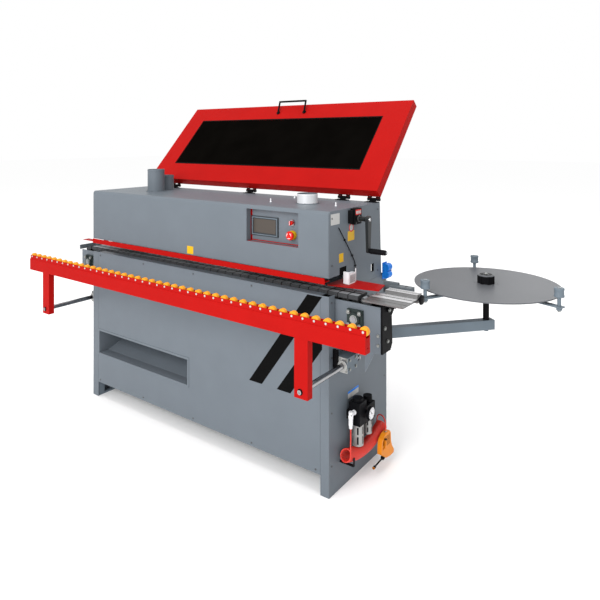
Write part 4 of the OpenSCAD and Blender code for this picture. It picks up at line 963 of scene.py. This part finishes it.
def cowl(bm, p, axis, r):
    """A fan cowl with raised rings on its end face."""
    lathe(bm, p, axis, ((r + 0.6, -26), (r + 2.2, -26), (r + 2.2, -2), (r - 2, 1.6), (0, 1.6), (0, -1)), 40)
    for share in (1, 2, 3, 4):
        ring = r * 0.2 * share
        lathe(bm, Vector(p) + axis * 1.4, axis, ((ring, 0), (ring, 1), (ring + 2, 1), (ring + 2, 0)), 36)


DRIVE_MOTOR_Z, UNIT_MOTOR_Y = CHAIN_Z + 4, 235
ROLL_DRIVE_X, ROLL_DRIVE_Y = 1200, 223
motor_fins = bmesh.new()
fins(motor_fins, (DRIVE_X, 255, DRIVE_MOTOR_Z), Y, 55, 14, 15)
cowl(motor_fins, (DRIVE_X, 481, DRIVE_MOTOR_Z), Y, 50)
for x, z, r, length in UNIT_MOTORS:
    fins(motor_fins, (x, UNIT_MOTOR_Y, z), Y, r, 50, 9)
    cowl(motor_fins, (x, UNIT_MOTOR_Y + length, z), Y, r - 1)
fins(motor_fins, (ROLL_DRIVE_X, ROLL_DRIVE_Y, 1010), Z, 46, 20, 9)
cowl(motor_fins, (ROLL_DRIVE_X, ROLL_DRIVE_Y, 1160), Z, 45)
piece("motor_fins", motor_fins, "frame", "machine")
# Each motor's terminal box ends TERMINAL_H above its casing
TERMINAL_H = 16
TERMINAL_TOPS = [(x, 300, z + r + TERMINAL_H) for x, z, r, length in UNIT_MOTORS]
terminal_lids = bmesh.new()
for x, y, z in [(DRIVE_X, 340, CHAIN_Z + 84)] + TERMINAL_TOPS:
    box(terminal_lids, (x - 14, y - 22, z), (x + 14, y + 22, z + 3))
    for dx in (-10, 10):
        for dy in (-17, 17):
            cap_screw(terminal_lids, (x + dx, y + dy, z + 3), Z, 2, 1)
piece("terminal_lids", terminal_lids, "plastic", "machine", 0.4)

# ------------------------------------------------------------------ units under the hood

# Rows of bolts: their places in X and in Y, their height and their size
BOLT_ROWS = [((x - 44, x + 44), (270, 380), 800, 6) for x, z, r, length in UNIT_MOTORS]
BOLT_ROWS += [((1395, 1525), (250, 390), 1094, 7), ((1030, 1070), (270, 410), 1000, 6),
              ((1160, 1240), (400,), 1011, 7)]
unit_bolts = bmesh.new()
for xs, ys, z, size in BOLT_ROWS:
    for x in xs:
        for y in ys:
            hex_bolt(unit_bolts, (x, y, z), Z, size)
piece("unit_bolts", unit_bolts, "zinc", "machine", 0.2)
POT_X, POT_Y = 1460, 320
pot_lid = bmesh.new()
lathe(pot_lid, (POT_X, POT_Y, 1094), Z, ((0, 0), (52, 0), (52, 6), (46, 10), (0, 12)), 48)
lathe(pot_lid, (POT_X, POT_Y, 1105), Z, ((0, 0), (7, 0), (5, 10), (10, 16), (9, 22), (0, 24)), 28)
piece("glue_pot_lid", pot_lid, "black", "machine")
roller_knurls = bmesh.new()
knurls(roller_knurls, (1345, 199), (31.4, 32.2), 0.8, (876, 948), 36)
piece("glue_roller_knurl", roller_knurls, "alu", "glue_spindle")
knife_edge = bmesh.new()
prism(knife_edge, ((-4.4, 0), (4.4, 0), (0, -5)), (1050, 217, 868), X, Y, Z, 90)
piece("knife_edge", knife_edge, "chrome", "end_cutter")
for place, (x, z, r, length) in zip(("top", "bottom"), UNIT_MOTORS[2:]):
    for r in (18, 28, 38):
        stitch = bmesh.new()
        lathe(stitch, (x, 156.2, z), -Y, ((r - 0.6, 0), (r - 0.6, 0.5), (r + 0.6, 0.5), (r + 0.6, 0)), 48)
        piece(f"buff_stitch_{place}_{r}", stitch, "label", place + "_buffer")
PRESS_WHEELS, PRESS_PITCH, TYRE_R = 24, 64, 26.3
TYRE_SECTION = ((0, 0), (24, 0), (TYRE_R, 1.5), (TYRE_R, 24), (25, 26), (25, 28), (TYRE_R, 30),
                (TYRE_R, 52.5), (24, 54), (0, 54))
tyres = bmesh.new()
for k in range(PRESS_WHEELS):
    lathe(tyres, (110 + PRESS_PITCH * k, 73, 922), Y, TYRE_SECTION, 36)
piece("pressure_tyres", tyres, "rubber", "pressure_unit")
DOOR_Y = 382.6
door = bmesh.new()
box(door, (1095, DOOR_Y, 235), (1545, DOOR_Y + 1.4, 605))
lathe(door, (1525, DOOR_Y, 420), -Y, ((0, 0), (11, 0), (11, 3), (4, 3), (4, 8), (0, 8)), 28)
piece("switch_box_door", door, "grey", "machine", 0.8)

# ------------------------------------------------------------------ floor, light and world

# Metres from here on
FLOOR_SIZE, FLOOR_DROP, LIGHTS_AIM = 40, 0.0005, Vector((0, 0, 0.7))
floor_mesh = bmesh.new()
bmesh.ops.create_grid(floor_mesh, x_segments=1, y_segments=1, size=FLOOR_SIZE)
floor_data = bpy.data.meshes.new("floor")
floor_mesh.to_mesh(floor_data)
floor_mesh.free()
floor = bpy.data.objects.new("floor", floor_data)
floor.location = (0, 0, -FLOOR_DROP)
floor_look = surface("floor_white", (0.985, 0.985, 0.985), 0.8, bump=0.0, tint=0.003, shine=0.0)
floor_data.materials.append(floor_look)
bpy.context.scene.collection.objects.link(floor)

# Name, place, power and size of each square lamp
LIGHTS = (("key", (0.7, -5.6, 3.3), 310, 3.2), ("top", (0.0, 0.3, 6.0), 110, 5.0),
          ("rear", (1.0, 6.0, 4.0), 60, 4.0))
for name, at, power, size in LIGHTS:
    data = bpy.data.lights.new(name, "AREA")
    data.energy = power
    data.size = size
    lamp = bpy.data.objects.new(name, data)
    lamp.location = at
    lamp.rotation_euler = (LIGHTS_AIM - Vector(at)).to_track_quat("-Z", "Y").to_euler()
    bpy.context.scene.collection.objects.link(lamp)
world = bpy.data.worlds.new("studio")
world.use_nodes = True
world.node_tree.nodes["Background"].inputs["Color"].default_value = (1, 1, 1, 1)
world.node_tree.nodes["Background"].inputs["Strength"].default_value = 1.0
bpy.context.scene.world = world
bpy.context.scene.view_settings.view_transform = "Standard"
